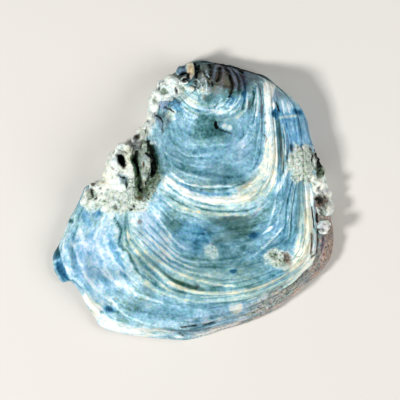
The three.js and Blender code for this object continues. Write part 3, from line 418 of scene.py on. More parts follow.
# Paint on places: layers with their values, strength, how far it rises there, middle, radii and turn in
# degrees.
SPOTS = (
    # umbo: brown ground under its arcs, darker towards its right and back as painted shade
    ({"tone": 0.24}, 0.9, 0, (10, 40.8), (7, 4.4), -14),
    ({"azure": 0}, 1, 0, (7.4, 40.2), (10, 5.2), -14),
    ({"umber": 0.4}, 1, 0, (7.4, 40.6), (10, 5), -14),
    ({"umber": 0.8}, 0.9, 0, (11.2, 41.2), (5.6, 4.4), -14),
    ({"sand": 0.45}, 1, 0.1, (3.4, 40), (2.4, 5.6), 0),
    ({"speckle": 0.45}, 1, 0, (3.6, 39.6), (2.8, 6), 0),
    ({"grime": 0.5}, 0.9, 0, (10, 41), (6.6, 4.4), -14),
    ({"umber": 0.55}, 1, 0, (11.4, 39.6), (1.3, 2.4), 0),
    ({"tone": 0.7, "cream": 0.8}, 1, 0, (11.4, 39), (1.2, 2.2), 0),
    ({"tone": 0.2}, 0.8, 0, (11.6, 42.6), (0.9, 1), 0),
    ({"tone": 0.7}, 0.9, 0, (8, 36.9), (2, 2.2), 20),
    ({"umber": 0.42, "grime": 0.35}, 1, 0, (8, 36.9), (2, 2.2), 20),
    ({"tone": 0.3, "grime": 0.6}, 0.8, -0.2, (5.4, 33.8), (2.2, 1.2), 8),
    ({"tone": 0.12}, 0.8, -0.2, (15.2, 36.4), (0.7, 1.3), 0),
    ({"azure": 1}, 0.8, 0, (16.6, 35.2), (0.7, 1.4), -10),
    ({"tone": 0.1}, 0.8, -0.2, (16.6, 35.2), (0.55, 1.2), -10),
    ({"azure": 0.8}, 0.8, 0, (14, 32.4), (2.6, 2), 20),
    ({"tone": 0.46}, 0.7, 0, (14, 32.4), (2.6, 2), 20),
    ({"tone": 0.82}, 0.8, 0, (-1, 33), (3.6, 2.6), -24),
    # rubble between the beak and the umbo
    ({"tone": 0.84}, 0.8, 0, (-1.6, 35), (4.2, 2.6), -24),
    ({"cream": 0.3}, 0.9, 0, (0.6, 32.6), (2, 1.4), -24),
    ({"tone": 0.5}, 1, 0, (3.4, 42.2), (2.4, 4), 0),
    ({"umber": 0.35}, 1, 0, (3.4, 42.6), (2.4, 3.6), 0),
    ({"grime": 0.7}, 1, 0, (2, 43.4), (1, 2), 0),
    ({"tone": 0.97}, 0.9, 0.3, (3.5, 40), (0.8, 0.5), 0),
    ({"tone": 0.8}, 0.9, 0, (4, 36.6), (2.2, 1.8), 0),
    ({"tone": 0.45}, 0.8, 0, (5.2, 38.6), (2, 1.6), 0),
    ({"tone": 0.06}, 0.9, -0.3, (3, 38), (0.5, 0.5), 0),
    ({"umber": 0.8}, 0.9, 0, (3.4, 41.3), (0.5, 0.4), 0),
    # pit in the dish: painted shade on its left wall and below it, and painted light on its right slope
    ({"tone": 0.14}, 0.7, -0.2, (6.4, 22.4), (3.4, 1.4), 0),
    ({"tone": 0.12}, 0.7, 0, (4.4, 25), (3.6, 2.4), 0),
    ({"tone": 0.36}, 1, -0.6, (8.4, 24.4), (1, 1.1), 0),
    ({"tone": 0.8}, 1, 0.2, (10.6, 24.3), (1.2, 0.9), -20),
    ({"tone": 0.88}, 1, 0.2, (12.2, 24), (0.9, 1), 20),
    ({"azure": 0.35, "cream": 0}, 1, 0, (11.2, 24.2), (2.4, 1.4), 0),
    # bumps left of the dish
    ({"tone": 0.45}, 1, 1.2, (-7, 31.2), (4, 1.8), -18),
    ({"azure": 0.9}, 1, 0, (-5.6, 31.4), (3, 1.5), -18),
    ({"lavender": 0.6, "tone": 0.8, "azure": 0.2}, 1, 0.4, (-9.6, 31.2), (1.6, 1.5), 0),
    ({"tone": 0.1}, 1, -0.2, (-6.9, 32.3), (1.2, 0.6), -10),
    ({"tone": 0.84}, 0.9, 0, (-7.4, 28.2), (1.8, 2), -30),
    ({"cream": 0.5}, 0.8, 0, (-7.2, 28.6), (1.2, 1.4), -30),
    ({"grime": 0.4}, 0.8, 0, (-8.6, 27), (1.6, 1.6), -30),
    ({"tone": 0.64}, 1, 0.9, (-11.4, 25.6), (1.2, 2.8), 14),
    ({"lavender": 0.5}, 1, 0, (-11.4, 25.8), (1.2, 2.6), 14),
    ({"grime": 0.6}, 1, 0, (-10.2, 22.9), (0.6, 0.8), 0),
    # right of the ledge
    ({"tone": 1, "azure": 0}, 1, 0.2, (25.6, 38), (1.8, 2.6), -20),
    ({"lavender": 0.6, "tone": 0.66}, 0.9, 0, (27.4, 34.3), (1.3, 2.2), -10),
    ({"tone": 0.72, "azure": 0.6}, 0.9, 0, (30.6, 31.4), (2.2, 2.6), 24),
    ({"umber": 0.3}, 0.9, 0, (29.2, 34.8), (1.2, 0.8), -30),
    ({"tone": 0.98}, 0.9, 0.2, (26.6, 31.4), (0.7, 0.8), 0),
    ({"azure": 1}, 1, 0, (27.3, 28.6), (1.5, 1.8), 0),
    ({"tone": 0.1}, 0.9, -0.2, (27.3, 28.6), (1.2, 1.5), 0),
    ({"azure": 1}, 1, 0, (35, 29), (2, 1.2), -20),
    ({"tone": 0.06}, 1, -0.3, (34.8, 29.2), (1.5, 0.9), -20),
    ({"void": 0.6}, 0.9, -0.3, (32.6, 17.2), (0.7, 1.4), 0),
    ({"void": 0.5}, 0.9, -0.2, (23.6, 28.3), (0.4, 0.5), 0),
    ({"void": 0.5}, 0.9, -0.2, (23.8, 25.6), (0.4, 0.5), 0),
    # smooth blue patch
    ({"azure": 1, "lined": 0.45}, 1, 0, (34.6, 22.8), (3.6, 5.2), 8),
    ({"tone": 0.58}, 0.9, 0, (34.6, 22.8), (3.6, 5.2), 8),
    # sandy patch on the right
    ({"sand": 1}, 1, 0.6, (36, 12.4), (4.6, 6.2), 0),
    ({"grime": 0.35}, 0.9, 0, (36, 12.4), (4.4, 6), 0),
    ({"tone": 0.64, "lavender": 0.4}, 1, 0.3, (39.6, 13.9), (1, 3.4), 10),
    ({"grime": 0.8}, 1, 0, (42.6, 10.6), (1.8, 2.2), 0),
    ({"lavender": 0.9}, 1, 0, (43.1, -14.2), (0.7, 2.8), -4),
    ({"tone": 0.45}, 1, -0.2, (43.1, -14.2), (0.6, 2.6), -4),
    # patches on the open face
    ({"sand": 0.9, "tone": 0.9}, 1, -0.6, (28.3, -19.6), (4.4, 3), -24),
    ({"umber": 0.8}, 1, -0.4, (31.4, -19.8), (1.2, 2.4), 18),
    ({"grime": 0.8}, 1, -0.2, (26.6, -18.4), (1.6, 1.4), 0),
    ({"grime": 0.5}, 1, 0, (28.8, -20.6), (3, 2), -24),
    ({"azure": 1}, 1, 0, (20.2, -11.7), (1.8, 1.1), 12),
    ({"tone": 0.02}, 1, -0.5, (20.2, -11.7), (1.4, 0.8), 12),
    ({"tone": 0.98}, 1, 0.2, (24.9, -9.9), (1.9, 0.5), 38),
    ({"tone": 0.52}, 1, -0.5, (6.1, -17), (2.6, 2.7), 0),
    ({"sand": 0.5}, 1, 0, (6.1, -17), (2.4, 2.5), 0),
    ({"azure": 1}, 1, 0, (13.4, -23.6), (1.3, 0.9), 10),
    ({"tone": 0.04}, 1, -0.4, (13.4, -23.6), (1, 0.7), 10),
    ({"cream": 0.8}, 1, 0.2, (15.4, -23.6), (1.6, 0.5), 10),
    ({"void": 0.7}, 1, -0.4, (1.3, -28.7), (0.8, 0.6), 0),
    ({"umber": 0.8}, 0.9, -0.3, (-17.7, -7.3), (0.8, 0.8), 0),
    ({"tone": 0.96}, 0.9, 0.1, (14.3, -36), (2.2, 1.7), 10),
    ({"cream": 0.5}, 0.9, 0, (14.3, -36), (2.4, 1.9), 10),
    # wing
    ({"tone": 0.94}, 0.9, 0.2, (-28.2, -3.4), (1.8, 1.6), 0),
    ({"azure": 1}, 0.9, 0, (-31.6, -3.6), (1.4, 2), 0),
    ({"tone": 0.38}, 0.9, 0, (-31.6, -3.6), (1.2, 1.8), 0),
    ({"azure": 0.9}, 0.9, 0, (-25.2, -18.5), (1.2, 1.7), -20),
    ({"tone": 0.36}, 0.9, 0, (-25.2, -18.5), (0.9, 1.4), -20),
    ({"azure": 0.9}, 0.9, 0, (-23.4, -23.8), (1.2, 1.5), -20),
    ({"tone": 0.32}, 0.9, 0, (-23.4, -23.8), (0.8, 1.2), -20),
    ({"azure": 1}, 0.9, 0, (-28, -36.5), (2.2, 1.2), -10),
    ({"tone": 0.08}, 0.9, -0.2, (-28, -36.3), (1.5, 0.9), -10),
    ({"tone": 0.08}, 0.9, -0.2, (-25, -37.3), (0.9, 0.5), -10),
    ({"tone": 0.1}, 0.9, -0.2, (-30.4, -37.6), (0.7, 0.4), 0),
    ({"tone": 0.05}, 1, -0.3, (-40.8, -7), (1, 0.8), 0),
    ({"tone": 0.75}, 0.9, 0, (-45, -13.6), (0.8, 1), 0),
    ({"grime": 0.8}, 0.9, 0, (-45.2, -17.2), (1.2, 1.8), 0),
    ({"tone": 0.2}, 0.9, 0, (-44.8, -16.4), (0.9, 1.2), 0),
    ({"tone": 0.9, "azure": 0.2}, 0.9, 0.1, (-45, -20.2), (1, 0.6), 0),
    ({"umber": 0.7}, 0.9, 0, (-46.2, -19.2), (0.5, 0.6), 0),
    ({"azure": 1}, 1, 0, (-43.6, -23.4), (1.2, 3.4), 26),
    ({"tone": 0.16}, 1, 0, (-43.6, -23.4), (1, 3), 26),
    ({"tone": 0.6}, 0.9, 0, (-43.2, -20.4), (0.7, 0.6), 0),
    # sand round the crusts
    ({"sand": 0.85, "tone": 0.8}, 1, 0, (-21, 11.4), (7.4, 10.6), -20),
    ({"grime": 0.6}, 1, 0, (-17, 12), (3.4, 9), 0),
    ({"sand": 0.8}, 1, 0, (-8, 38.4), (6.5, 4.6), 40),
    ({"sand": 0.8}, 1, 0, (42.6, 4), (2.6, 8), 0),
    ({"sand": 0.6}, 1, 0, (43.4, -7), (2.2, 4.6), 0),
    # sandy plateau, its bright blots, and its holes painted dark as shade
    ({"speckle": 0.3}, 1, 0, (-25, 2.4), (13, 7), 14),
    ({"speckle": 0.7}, 1, 0, (-18.4, 17.4), (3, 3.2), 0),
    ({"speckle": 0.2}, 1, 0, (36, 12.4), (4.6, 6.4), 0),
    ({"speckle": 0.7}, 1, 0, (28.4, -19.4), (4, 2.8), -24),
    ({"tone": 0.93}, 1, 0.5, (-23, 0.6), (9.4, 5.2), 4),
    ({"sand": 0.85}, 1, 0, (-23, 0.8), (9.6, 5.4), 4),
    ({"tone": 0.9}, 1, 0.3, (-33, 0), (4.2, 3.6), 10),
    ({"sand": 0.85}, 1, 0, (-33, 0.6), (4.2, 3.4), 10),
    ({"grime": 0.3}, 0.9, 0, (-24, 0.8), (9.6, 5.4), 4),
    ({"tone": 0.3}, 0.9, -0.2, (-33.4, -1.6), (2.2, 0.8), -10),
    ({"grime": 0.7}, 1, 0, (-16.3, 3.2), (2.6, 3.6), 10),
    ({"speckle": 0.8}, 1, 0, (-15.8, 3), (3.2, 4), 10),
    ({"void": 0.4}, 0.9, -0.3, (-16.4, 3.8), (1.6, 3), 10),
    ({"umber": 0.6}, 0.9, 0, (-17.6, 0.6), (0.9, 0.9), 0),
    ({"void": 0.8}, 1, -0.4, (-20.6, -3.2), (0.8, 0.5), 20),
    ({"void": 0.8}, 1, -0.3, (-19.4, -2), (0.5, 0.5), 0),
    ({"void": 0.6}, 1, -0.3, (-25.6, -2.4), (0.6, 0.9), 0),
    ({"grime": 0.6}, 0.9, 0, (-12.4, 7.4), (1.6, 2), 30),
    ({"grime": 0.5}, 0.9, 0, (-10.6, 10.4), (1, 4.4), 8),
    # painted shade at the bottom of the left crust's hole
    ({"void": 1}, 1, 0, (-23.2, 13), (1.8, 2.8), 28),
    # gap between the lumps of the right crust: brown stain and painted shade
    ({"umber": 0.75}, 1, 0, (42.3, -1.2), (2.2, 2.6), 0),
    ({"void": 0.85}, 1, -0.4, (42.3, 0.1), (1.5, 1.3), 0),
    ({"umber": 0.6}, 1, -0.2, (41.6, -5.2), (0.9, 1.2), 0),
)

# Paint along strokes: layers with their values, strength, how far it rises, half width and places.
STROKES = (
    # arcs of the umbo, from the middle outwards: grooves painted near black as shade, then pale lavender
    # ridges
    ({"void": 0.9}, 1, -0.3, 0.45, ((8.9, 43.8), (8.9, 42.2), (8.6, 40.4), (8, 39.4))),
    ({"tone": 0.92, "umber": 0.1, "lavender": 0.9}, 1, 0.3, 0.42,
     ((8.1, 45), (7.3, 43.3), (7, 41.7), (6.7, 39.7))),
    ({"tone": 0.96, "umber": 0.1, "lavender": 0.8, "rose": 0.6}, 1, 0.3, 0.45,
     ((8.5, 45), (9.8, 43.7), (10.3, 41.7), (9.8, 39), (9, 37.3))),
    ({"cream": 1}, 1, 0, 0.3, ((8.6, 40.2), (8.3, 38.8), (7.2, 36.6))),
    ({"tone": 0.74}, 0.9, 0, 0.3, ((8.6, 40.2), (8.3, 38.8), (7.2, 36.6))),
    ({"void": 0.8}, 1, -0.3, 0.42, ((10.9, 44), (11.9, 42.4), (12.4, 40.6))),
    ({"tone": 0.14}, 0.8, 0, 0.8, ((12.4, 41.2), (13, 38.4), (12.6, 35.6))),
    ({"void": 1}, 1, -0.3, 0.36, ((12.4, 40.6), (13, 38.6), (13.1, 36.8), (12.6, 35.4), (12, 34.2))),
    ({"tone": 0.84, "umber": 0.15, "lavender": 0.9}, 1, 0.3, 0.62,
     ((10.8, 44.5), (12.3, 42.9), (13.7, 40.9), (14.3, 38.5), (14, 36.8))),
    ({"void": 0.5}, 0.9, -0.2, 0.4, ((13, 43.4), (14.6, 41.4), (15.3, 38.8), (15.2, 36.8))),
    ({"tone": 0.76}, 1, 0.3, 0.45, ((12.4, 44.4), (14.5, 42.4), (15.9, 39.8), (16.3, 37.2))),
    ({"lavender": 0.9, "umber": 0.2}, 1, 0, 0.5, ((12.4, 44.4), (14.5, 42.4), (15.9, 39.8), (16.3, 37.2))),
    ({"azure": 1}, 1, 0, 0.6, ((16.8, 42), (17, 39.4), (17.4, 36.6), (17.4, 34.6), (17.3, 32.2))),
    ({"tone": 0.14}, 0.9, -0.2, 0.3, ((16.7, 41.4), (17, 39.4), (17.3, 36.6), (17.3, 34.6), (17.2, 32.4))),
    # the back edge painted near black as shade, and the rubble: its holes painted dark as shade, and its pale
    # bits
    ({"void": 1}, 1, 0, 0.45, ((3, 46.4), (5, 46), (7.2, 45.3))),
    ({"void": 1}, 1, -0.2, 0.45, ((9.6, 45), (12.6, 44.9), (14.9, 43.6), (16.4, 42.4))),
    ({"void": 0.8}, 1, -0.2, 0.6, ((5.6, 45), (6, 43.4), (5.7, 41.4))),
    ({"void": 1}, 1, -1, 0.5, ((0.7, 45.6), (0.9, 43.3), (1.1, 40.8))),
    ({"void": 0.6}, 1, -0.4, 0.5, ((0.9, 39.4), (0.8, 37.4))),
    ({"void": 0.8}, 1, -0.3, 0.3, ((3.2, 43.4), (3.6, 42))),
    ({"void": 0.8}, 1, -0.3, 0.4, ((4.6, 41), (5.4, 40.2))),
    ({"void": 0.7}, 1, -0.3, 0.3, ((6.4, 39.2), (6.3, 37.8))),
    ({"void": 0.7}, 1, -0.3, 0.3, ((2, 44.6), (1.9, 42.6))),
    ({"clear": 0, "tone": 0.8, "cream": 0.5}, 1, 0.4, 0.26, ((2.4, 44.6), (3.1, 43), (3.4, 42), (3.2, 40.8))),
    ({"clear": 0, "tone": 0.86}, 1, 0.4, 0.24, ((3.6, 44.4), (4.2, 42.8), (4.6, 41.8), (5.2, 40.8))),
    ({"clear": 0, "tone": 0.92}, 1, 0.3, 0.22, ((1.6, 39.8), (2.6, 38.4), (3.2, 36.8))),
    ({"clear": 0, "tone": 0.92}, 1, 0.3, 0.22, ((4.2, 39.4), (4.6, 37.8), (4.4, 36.2))),
    ({"clear": 0, "tone": 0.95}, 1, 0.3, 0.2, ((0.2, 38.2), (1.4, 36.8), (2, 35.2))),
    ({"void": 0.7}, 0.9, -0.2, 0.2, ((4.9, 39.4), (5.3, 38))),
    ({"void": 0.6}, 0.9, -0.2, 0.2, ((2.6, 39), (2.2, 37.6))),
    ({"cream": 1, "rose": 0.5, "tone": 0.85}, 0.9, 0, 0.4, ((8.3, 39.6), (7.9, 38.2), (7.2, 37), (6.2, 36))),
    # streaks on the front of the umbo
    ({"tone": 0.55}, 0.8, -0.1, 0.16, ((-2.6, 36), (-0.8, 34), (1.8, 32.6), (4.4, 32.2))),
    ({"cream": 1}, 0.8, 0, 0.18, ((-3.4, 35.4), (-1.4, 33.2), (1.4, 31.8), (4.8, 31.6))),
    ({"tone": 0.5}, 0.8, -0.1, 0.16, ((-1.2, 36.4), (0.4, 35.2), (2.4, 34.4))),
    ({"tone": 0.5}, 0.8, -0.1, 0.16, ((-3.8, 33.2), (-1.6, 31), (1, 29.8), (4.4, 29.4), (7.6, 29.6))),
    ({"azure": 0.9}, 0.9, 0, 0.25, ((-3.8, 33.2), (-1.6, 31), (1, 29.8), (4.4, 29.4), (7.6, 29.6))),
    ({"tone": 0.42}, 0.8, -0.1, 0.2, ((-4.4, 34.2), (-2.8, 32.2), (-0.8, 30.6), (2.4, 29.3), (5, 28.8))),
    ({"cream": 0.8}, 0.8, 0, 0.25, ((-4.4, 34.2), (-2.8, 32.2), (-0.8, 30.6), (2.4, 29.3), (5, 28.8))),
    ({"tone": 0.9}, 0.9, 0.2, 0.3, ((-3.6, 34.2), (-1.8, 32.2), (0.4, 30.8), (4, 29.8), (9, 29.6))),
    ({"cream": 0.6}, 0.8, 0, 0.2, ((-2.6, 34.6), (-0.6, 32.8), (2.4, 31.4), (5.6, 31))),
    ({"azure": 0.8, "tone": 0.4}, 0.8, 0, 0.25, ((5.4, 30.2), (9, 30.4), (12.4, 31.8), (14.6, 34))),
    ({"tone": 0.92}, 0.8, 0.1, 0.25, ((8.4, 28.6), (12, 29.8), (14.8, 32.2), (15.8, 34.6))),
    ({"tone": 0.4}, 0.8, 0, 0.2, ((8, 27.6), (12.6, 28.8), (15.8, 31.4), (16.6, 33.6))),
    ({"tone": 0.9}, 0.9, 0.1, 0.28, ((-4, 31.2), (-1.4, 28.8), (1.4, 27.4))),
    ({"cream": 0.7}, 0.9, 0.1, 0.35, ((-2, 30.4), (0.4, 28.6), (4, 28))),
    ({"tone": 0.8}, 0.9, 0.1, 0.15, ((6.4, 30.8), (8.2, 31.8), (9.6, 33.6))),
    ({"tone": 0.84}, 0.9, 0.1, 0.15, ((7.4, 30.2), (9.8, 31.4), (11.4, 33.6))),
    ({"tone": 0.84}, 0.9, 0.1, 0.13, ((9, 30.2), (11.4, 31.4), (13, 33.8))),
    ({"tone": 0.86}, 0.9, 0.1, 0.15, ((10.6, 29.8), (13.2, 31.4), (14.6, 34))),
    ({"azure": 1}, 0.9, 0, 0.25, ((12.2, 34.6), (13.6, 33), (15.6, 32.4))),
    ({"tone": 0.1}, 0.9, -0.1, 0.2, ((12.2, 34.6), (13.4, 33.4))),
    ({"tone": 0.3}, 0.8, -0.1, 0.18, ((8.2, 30), (10.6, 31.2), (12.2, 33.6))),
    ({"tone": 0.3}, 0.8, -0.1, 0.18, ((10, 29.6), (12.4, 31.2), (13.8, 33.6))),
    ({"tone": 0.1}, 0.9, -0.2, 0.25, ((7, 30.6), (8.4, 32))),
    ({"tone": 0.95}, 0.9, 0.2, 0.4, ((17.9, 33.6), (17.9, 31.4), (17.3, 29.4))),
    ({"umber": 0.6}, 0.9, -0.1, 0.3, ((18.7, 32.4), (18.7, 30.2))),
    ({"tone": 0.88}, 0.9, 0.2, 0.25, ((15.4, 31.4), (14.4, 29.8), (12.6, 28.6))),
    ({"tone": 0.08}, 0.9, -0.1, 0.35, ((20, 36), (20.2, 34), (19.6, 31.4))),
    ({"tone": 0.95}, 0.9, 0.2, 0.35, ((21.4, 37), (21.6, 33), (21, 28))),
    ({"umber": 0.7}, 0.9, -0.2, 0.25, ((22.2, 37), (22.6, 33), (22.2, 29))),
    # pit in the dish: painted shade in its crescent and along its lower edge
    ({"tone": 0.1}, 0.7, 0, 1.3, ((6.6, 25.6), (6.6, 24), (7.8, 22.8), (9.6, 22.4))),
    ({"void": 1}, 1, -0.6, 0.5, ((7.6, 25.6), (7.4, 24.8), (8, 23.8))),
    ({"void": 0.8}, 1, -0.2, 0.2, ((8, 23.8), (9.6, 23), (11.2, 22.6), (12.8, 22))),
    # bumps left of the dish: painted shadow under them and along their right side
    ({"void": 0.8}, 1, -0.4, 0.24, ((-9.4, 30.4), (-8.2, 29.9), (-7, 29.6), (-6.2, 29.2))),
    ({"void": 1}, 1, -0.6, 0.42, ((-12.3, 28), (-11, 27.1), (-10.2, 25.4), (-10.5, 23.6))),
    # right of the ledge
    ({"void": 0.9}, 1, -0.3, 0.3, ((27.5, 32.2), (28.1, 31), (28.6, 29.4))),
    ({"tone": 0.95}, 0.9, 0.1, 0.3, ((29.4, 33), (29.8, 31), (30.2, 28.9))),
    ({"tone": 0.92}, 0.9, 0.1, 0.25, ((31, 32), (31.6, 30.4), (32, 28.8))),
    ({"tone": 0.88}, 0.8, 0.1, 0.42, ((28.8, 27.2), (31.4, 27.7), (34.6, 28))),
    ({"cream": 0.6}, 1, 0, 0.4, ((28.8, 27.2), (31.4, 27.7), (34.6, 28))),
    ({"umber": 0.6}, 0.9, -0.2, 0.25, ((23.4, 21.8), (24.4, 20.4), (24, 19.2))),
    ({"void": 0.8}, 1, -0.4, 0.35, ((38.6, 17), (38.9, 15.2), (39.2, 12.8))),
    ({"void": 0.9}, 1, -0.5, 0.7, ((40.8, 17.2), (41.4, 14.4), (42.4, 11.4))),
    ({"tone": 0.36}, 0.9, -0.2, 0.24, ((28.6, 24.6), (29.2, 20), (29, 15), (28.2, 10.6))),
    ({"tone": 0.86}, 0.9, 0.1, 0.2, ((29.6, 25.4), (30.6, 20), (30.6, 15))),
    ({"grime": 0.6}, 0.9, 0, 0.5, ((28.2, 26), (28.9, 20), (28.6, 12))),
    ({"cream": 0.9}, 0.9, 0, 0.25, ((29.8, 24), (30.2, 18), (29.8, 10))),
    ({"tone": 0.8}, 0.9, 0, 0.25, ((29.8, 20), (29.9, 15), (29.4, 10))),
    ({"umber": 0.6}, 0.9, -0.2, 0.2, ((31.2, 22), (31.8, 18), (31, 13.6))),
    ({"umber": 0.5}, 0.9, 0, 0.3, ((37.2, 27.4), (38.2, 22.8), (39.2, 18.6))),
    # pale and dark growth bands of the wing
    ({"tone": 0.58}, 0.7, -0.1, 0.9,
     ((-41.7, -15), (-40.3, -18.6), (-39, -22.6), (-36.8, -26.6), (-32.8, -31))),
    ({"tone": 0.5, "azure": 0.8}, 0.8, -0.1, 0.85,
     ((-27.4, -11.9), (-27, -17.2), (-25.2, -20.3), (-23.4, -24.3))),
    ({"tone": 0.52}, 0.7, 0, 0.8, ((-31.4, -24.8), (-29.2, -27.9))),
    ({"tone": 0.5}, 0.8, 0, 1.1, ((-35.9, -4.8), (-34.8, -7.9))),
    ({"azure": 0.9}, 0.9, 0, 1.2, ((-35.9, -4.8), (-34.8, -7.9))),
    ({"tone": 0.94}, 0.8, 0.15, 0.45,
     ((-40.8, -13.7), (-39, -16.7), (-37.7, -20.7), (-35.9, -24.7), (-32.8, -29.2))),
    ({"tone": 0.94}, 0.8, 0.15, 0.35, ((-32.8, -29.2), (-29.2, -32.3), (-25.7, -34.6))),
    ({"tone": 0.95}, 0.8, 0.15, 0.42,
     ((-29.7, -5.7), (-32.6, -12.3), (-32.1, -15.4), (-29.7, -19.4), (-28.8, -23))),
    ({"tone": 0.95}, 0.8, 0.15, 0.42, ((-28.8, -23), (-26.6, -26.6), (-22.1, -29.7), (-17.7, -31.9))),
    ({"tone": 0.94}, 0.8, 0.15, 0.4,
     ((-29.2, -9.7), (-29.4, -14.1), (-26.6, -19.4), (-24.3, -22.6), (-19.4, -26.6))),
    ({"tone": 0.96}, 0.8, 0.1, 0.6, ((-36.8, -12.3), (-35.9, -15.4))),
    ({"clear": 0}, 0.9, 0, 0.85, ((-36, -32), (-34, -35.2), (-31.4, -38), (-28.3, -39.8))),
    ({"tone": 0.98}, 1, 0.1, 0.85, ((-36, -32), (-34, -35.2), (-31.4, -38), (-28.3, -39.8))),
    # rim of the lobe
    ({"tone": 0.72, "azure": 0}, 0.9, 0.1, 0.55, ((-46.6, -21), (-46, -23.6), (-44.8, -25.8))),
    ({"tone": 0.85}, 0.9, 0.1, 0.3, ((-44.4, -15.6), (-43.4, -20), (-41.8, -23.4), (-40.6, -26.4))),
    # cream crescent on the right
    ({"tone": 0.97, "cream": 0.4}, 1, 0.2, 1.35,
     ((38, -4), (38.1, -10), (37.8, -13), (36.8, -17.3), (34, -21.5))),
    ({"azure": 0}, 1, 0, 1.6, ((38, -4), (38.1, -10), (37.8, -13), (36.8, -17.3), (34, -21.5))),
    ({"tone": 0.94, "cream": 0.4}, 1, 0.1, 2, ((36.6, -13), (35.4, -18.6), (33.2, -21.6))),
    ({"azure": 0}, 1, 0, 2.2, ((36.6, -13), (35.4, -18.6), (33.2, -21.6))),
    ({"tone": 0.55}, 0.8, -0.1, 0.18, ((36.4, -8), (36.2, -12), (35.2, -16.6), (33, -20))),
    ({"umber": 0.35}, 0.9, -0.1, 0.15, ((38.8, -8), (38.6, -13), (37.6, -17), (35.4, -20.6))),
    ({"tone": 0.5}, 0.8, -0.1, 0.15, ((36.6, -14), (36.4, -17), (34.6, -20.6))),
    ({"void": 0.7}, 0.9, -0.2, 0.25, ((34.2, -18.9), (34.9, -18.9))),
    # slits and ridges of the lower right edge
    ({"void": 0.8}, 1, -0.4, 0.22, ((39.4, -2.4), (39.8, -5.4), (40.2, -9.2))),
    ({"void": 1}, 1, -0.6, 0.35, ((41.2, -4.8), (41.3, -7.2))),
    ({"umber": 0.9}, 1, -0.5, 0.28, ((39.3, -11), (39.4, -14.4), (39.2, -18))),
    ({"umber": 0.9}, 1, -0.6, 0.35, ((41.4, -9.6), (41.5, -14), (41, -17.8), (39.6, -19))),
    ({"void": 0.7}, 1, -0.3, 0.18, ((41.4, -10.4), (41.5, -13.6))),
    ({"tone": 0.9, "lavender": 0.35}, 1, 0.4, 0.5, ((40.4, -11.8), (40.4, -15.2), (40.1, -17.6))),
    ({"void": 0.8}, 1, -0.3, 0.35, ((-3.6, -42.3), (-1, -42.1), (1, -41.9))),
    ({"void": 0.7}, 1, -0.3, 0.35, ((3.4, -41.7), (5.6, -41.2), (7.4, -40.8))),
    ({"void": 0.7}, 1, -0.3, 0.3, ((-4.6, -44.4), (-3.4, -45.2))),
    # crevice beside the rib: an olive stain at its foot, the rib's painted shadow in it fading downwards, and
    # painted shade in the groove on its other side
    ({"grime": 0.9}, 0.9, 0, 2.2, ((-13.2, 7), (-14.4, 4))),
    ({"speckle": 0.8}, 0.9, 0, 2.4, ((-13, 8), (-14.6, 3))),
    ({"sand": 0.8}, 0.9, 0.3, 1.9, ((-12.9, 7.4), (-14.4, 3.6))),
    ({"azure": 0}, 0.9, 0, 2.4, ((-12.9, 8), (-14.4, 3.6))),
    ({"grime": 0.8}, 0.8, 0, 1.7, ((-13.4, 17), (-12.3, 12), (-12.8, 7))),
    ({"tone": 0.42}, 0.8, 0, 1.5, ((-13.4, 17), (-12.4, 12), (-12.9, 7.4))),
    ({"grime": 1, "tone": 0.1}, 1, 0, 1.2, ((-13.9, 17.4), (-12.6, 12.6), (-12.9, 8.6))),
    ({"void": 1}, 1, -0.6, 0.55, ((-14.9, 19.3), (-14.3, 17.7), (-13.4, 16.7), (-13.3, 15.2))),
    ({"void": 1}, 1, -1, 0.85, ((-13.5, 14.4), (-13.2, 13.2))),
    ({"void": 1}, 1, -1, 1, ((-13, 13.2), (-12.8, 11.3), (-12.9, 9.8))),
    ({"void": 1}, 1, -0.8, 0.7, ((-12.9, 9.8), (-13.6, 8.3))),
    ({"void": 1}, 1, -0.4, 0.35, ((-15.4, 15.4), (-14.4, 14.4))),
    ({"grime": 1}, 1, 0, 1.3, ((-19.5, 13.8), (-18.4, 10), (-17.8, 5.4))),
    ({"tone": 0.3}, 1, 0, 1, ((-19.5, 13.8), (-18.4, 10), (-17.8, 5.4))),
    ({"void": 0.9}, 1, -2, 0.42, ((-19.7, 13.3), (-18.7, 12), (-18.2, 10), (-18, 8), (-17.7, 6.2))),
    ({"void": 0.6}, 1, -1, 0.7, ((-17.9, 7.2), (-17.8, 5.2), (-17.4, 3.8))),
    ({"grime": 1}, 0.9, 0, 1.3, ((-17.4, 4.6), (-17, 2.6), (-17.6, 1.2))),
)

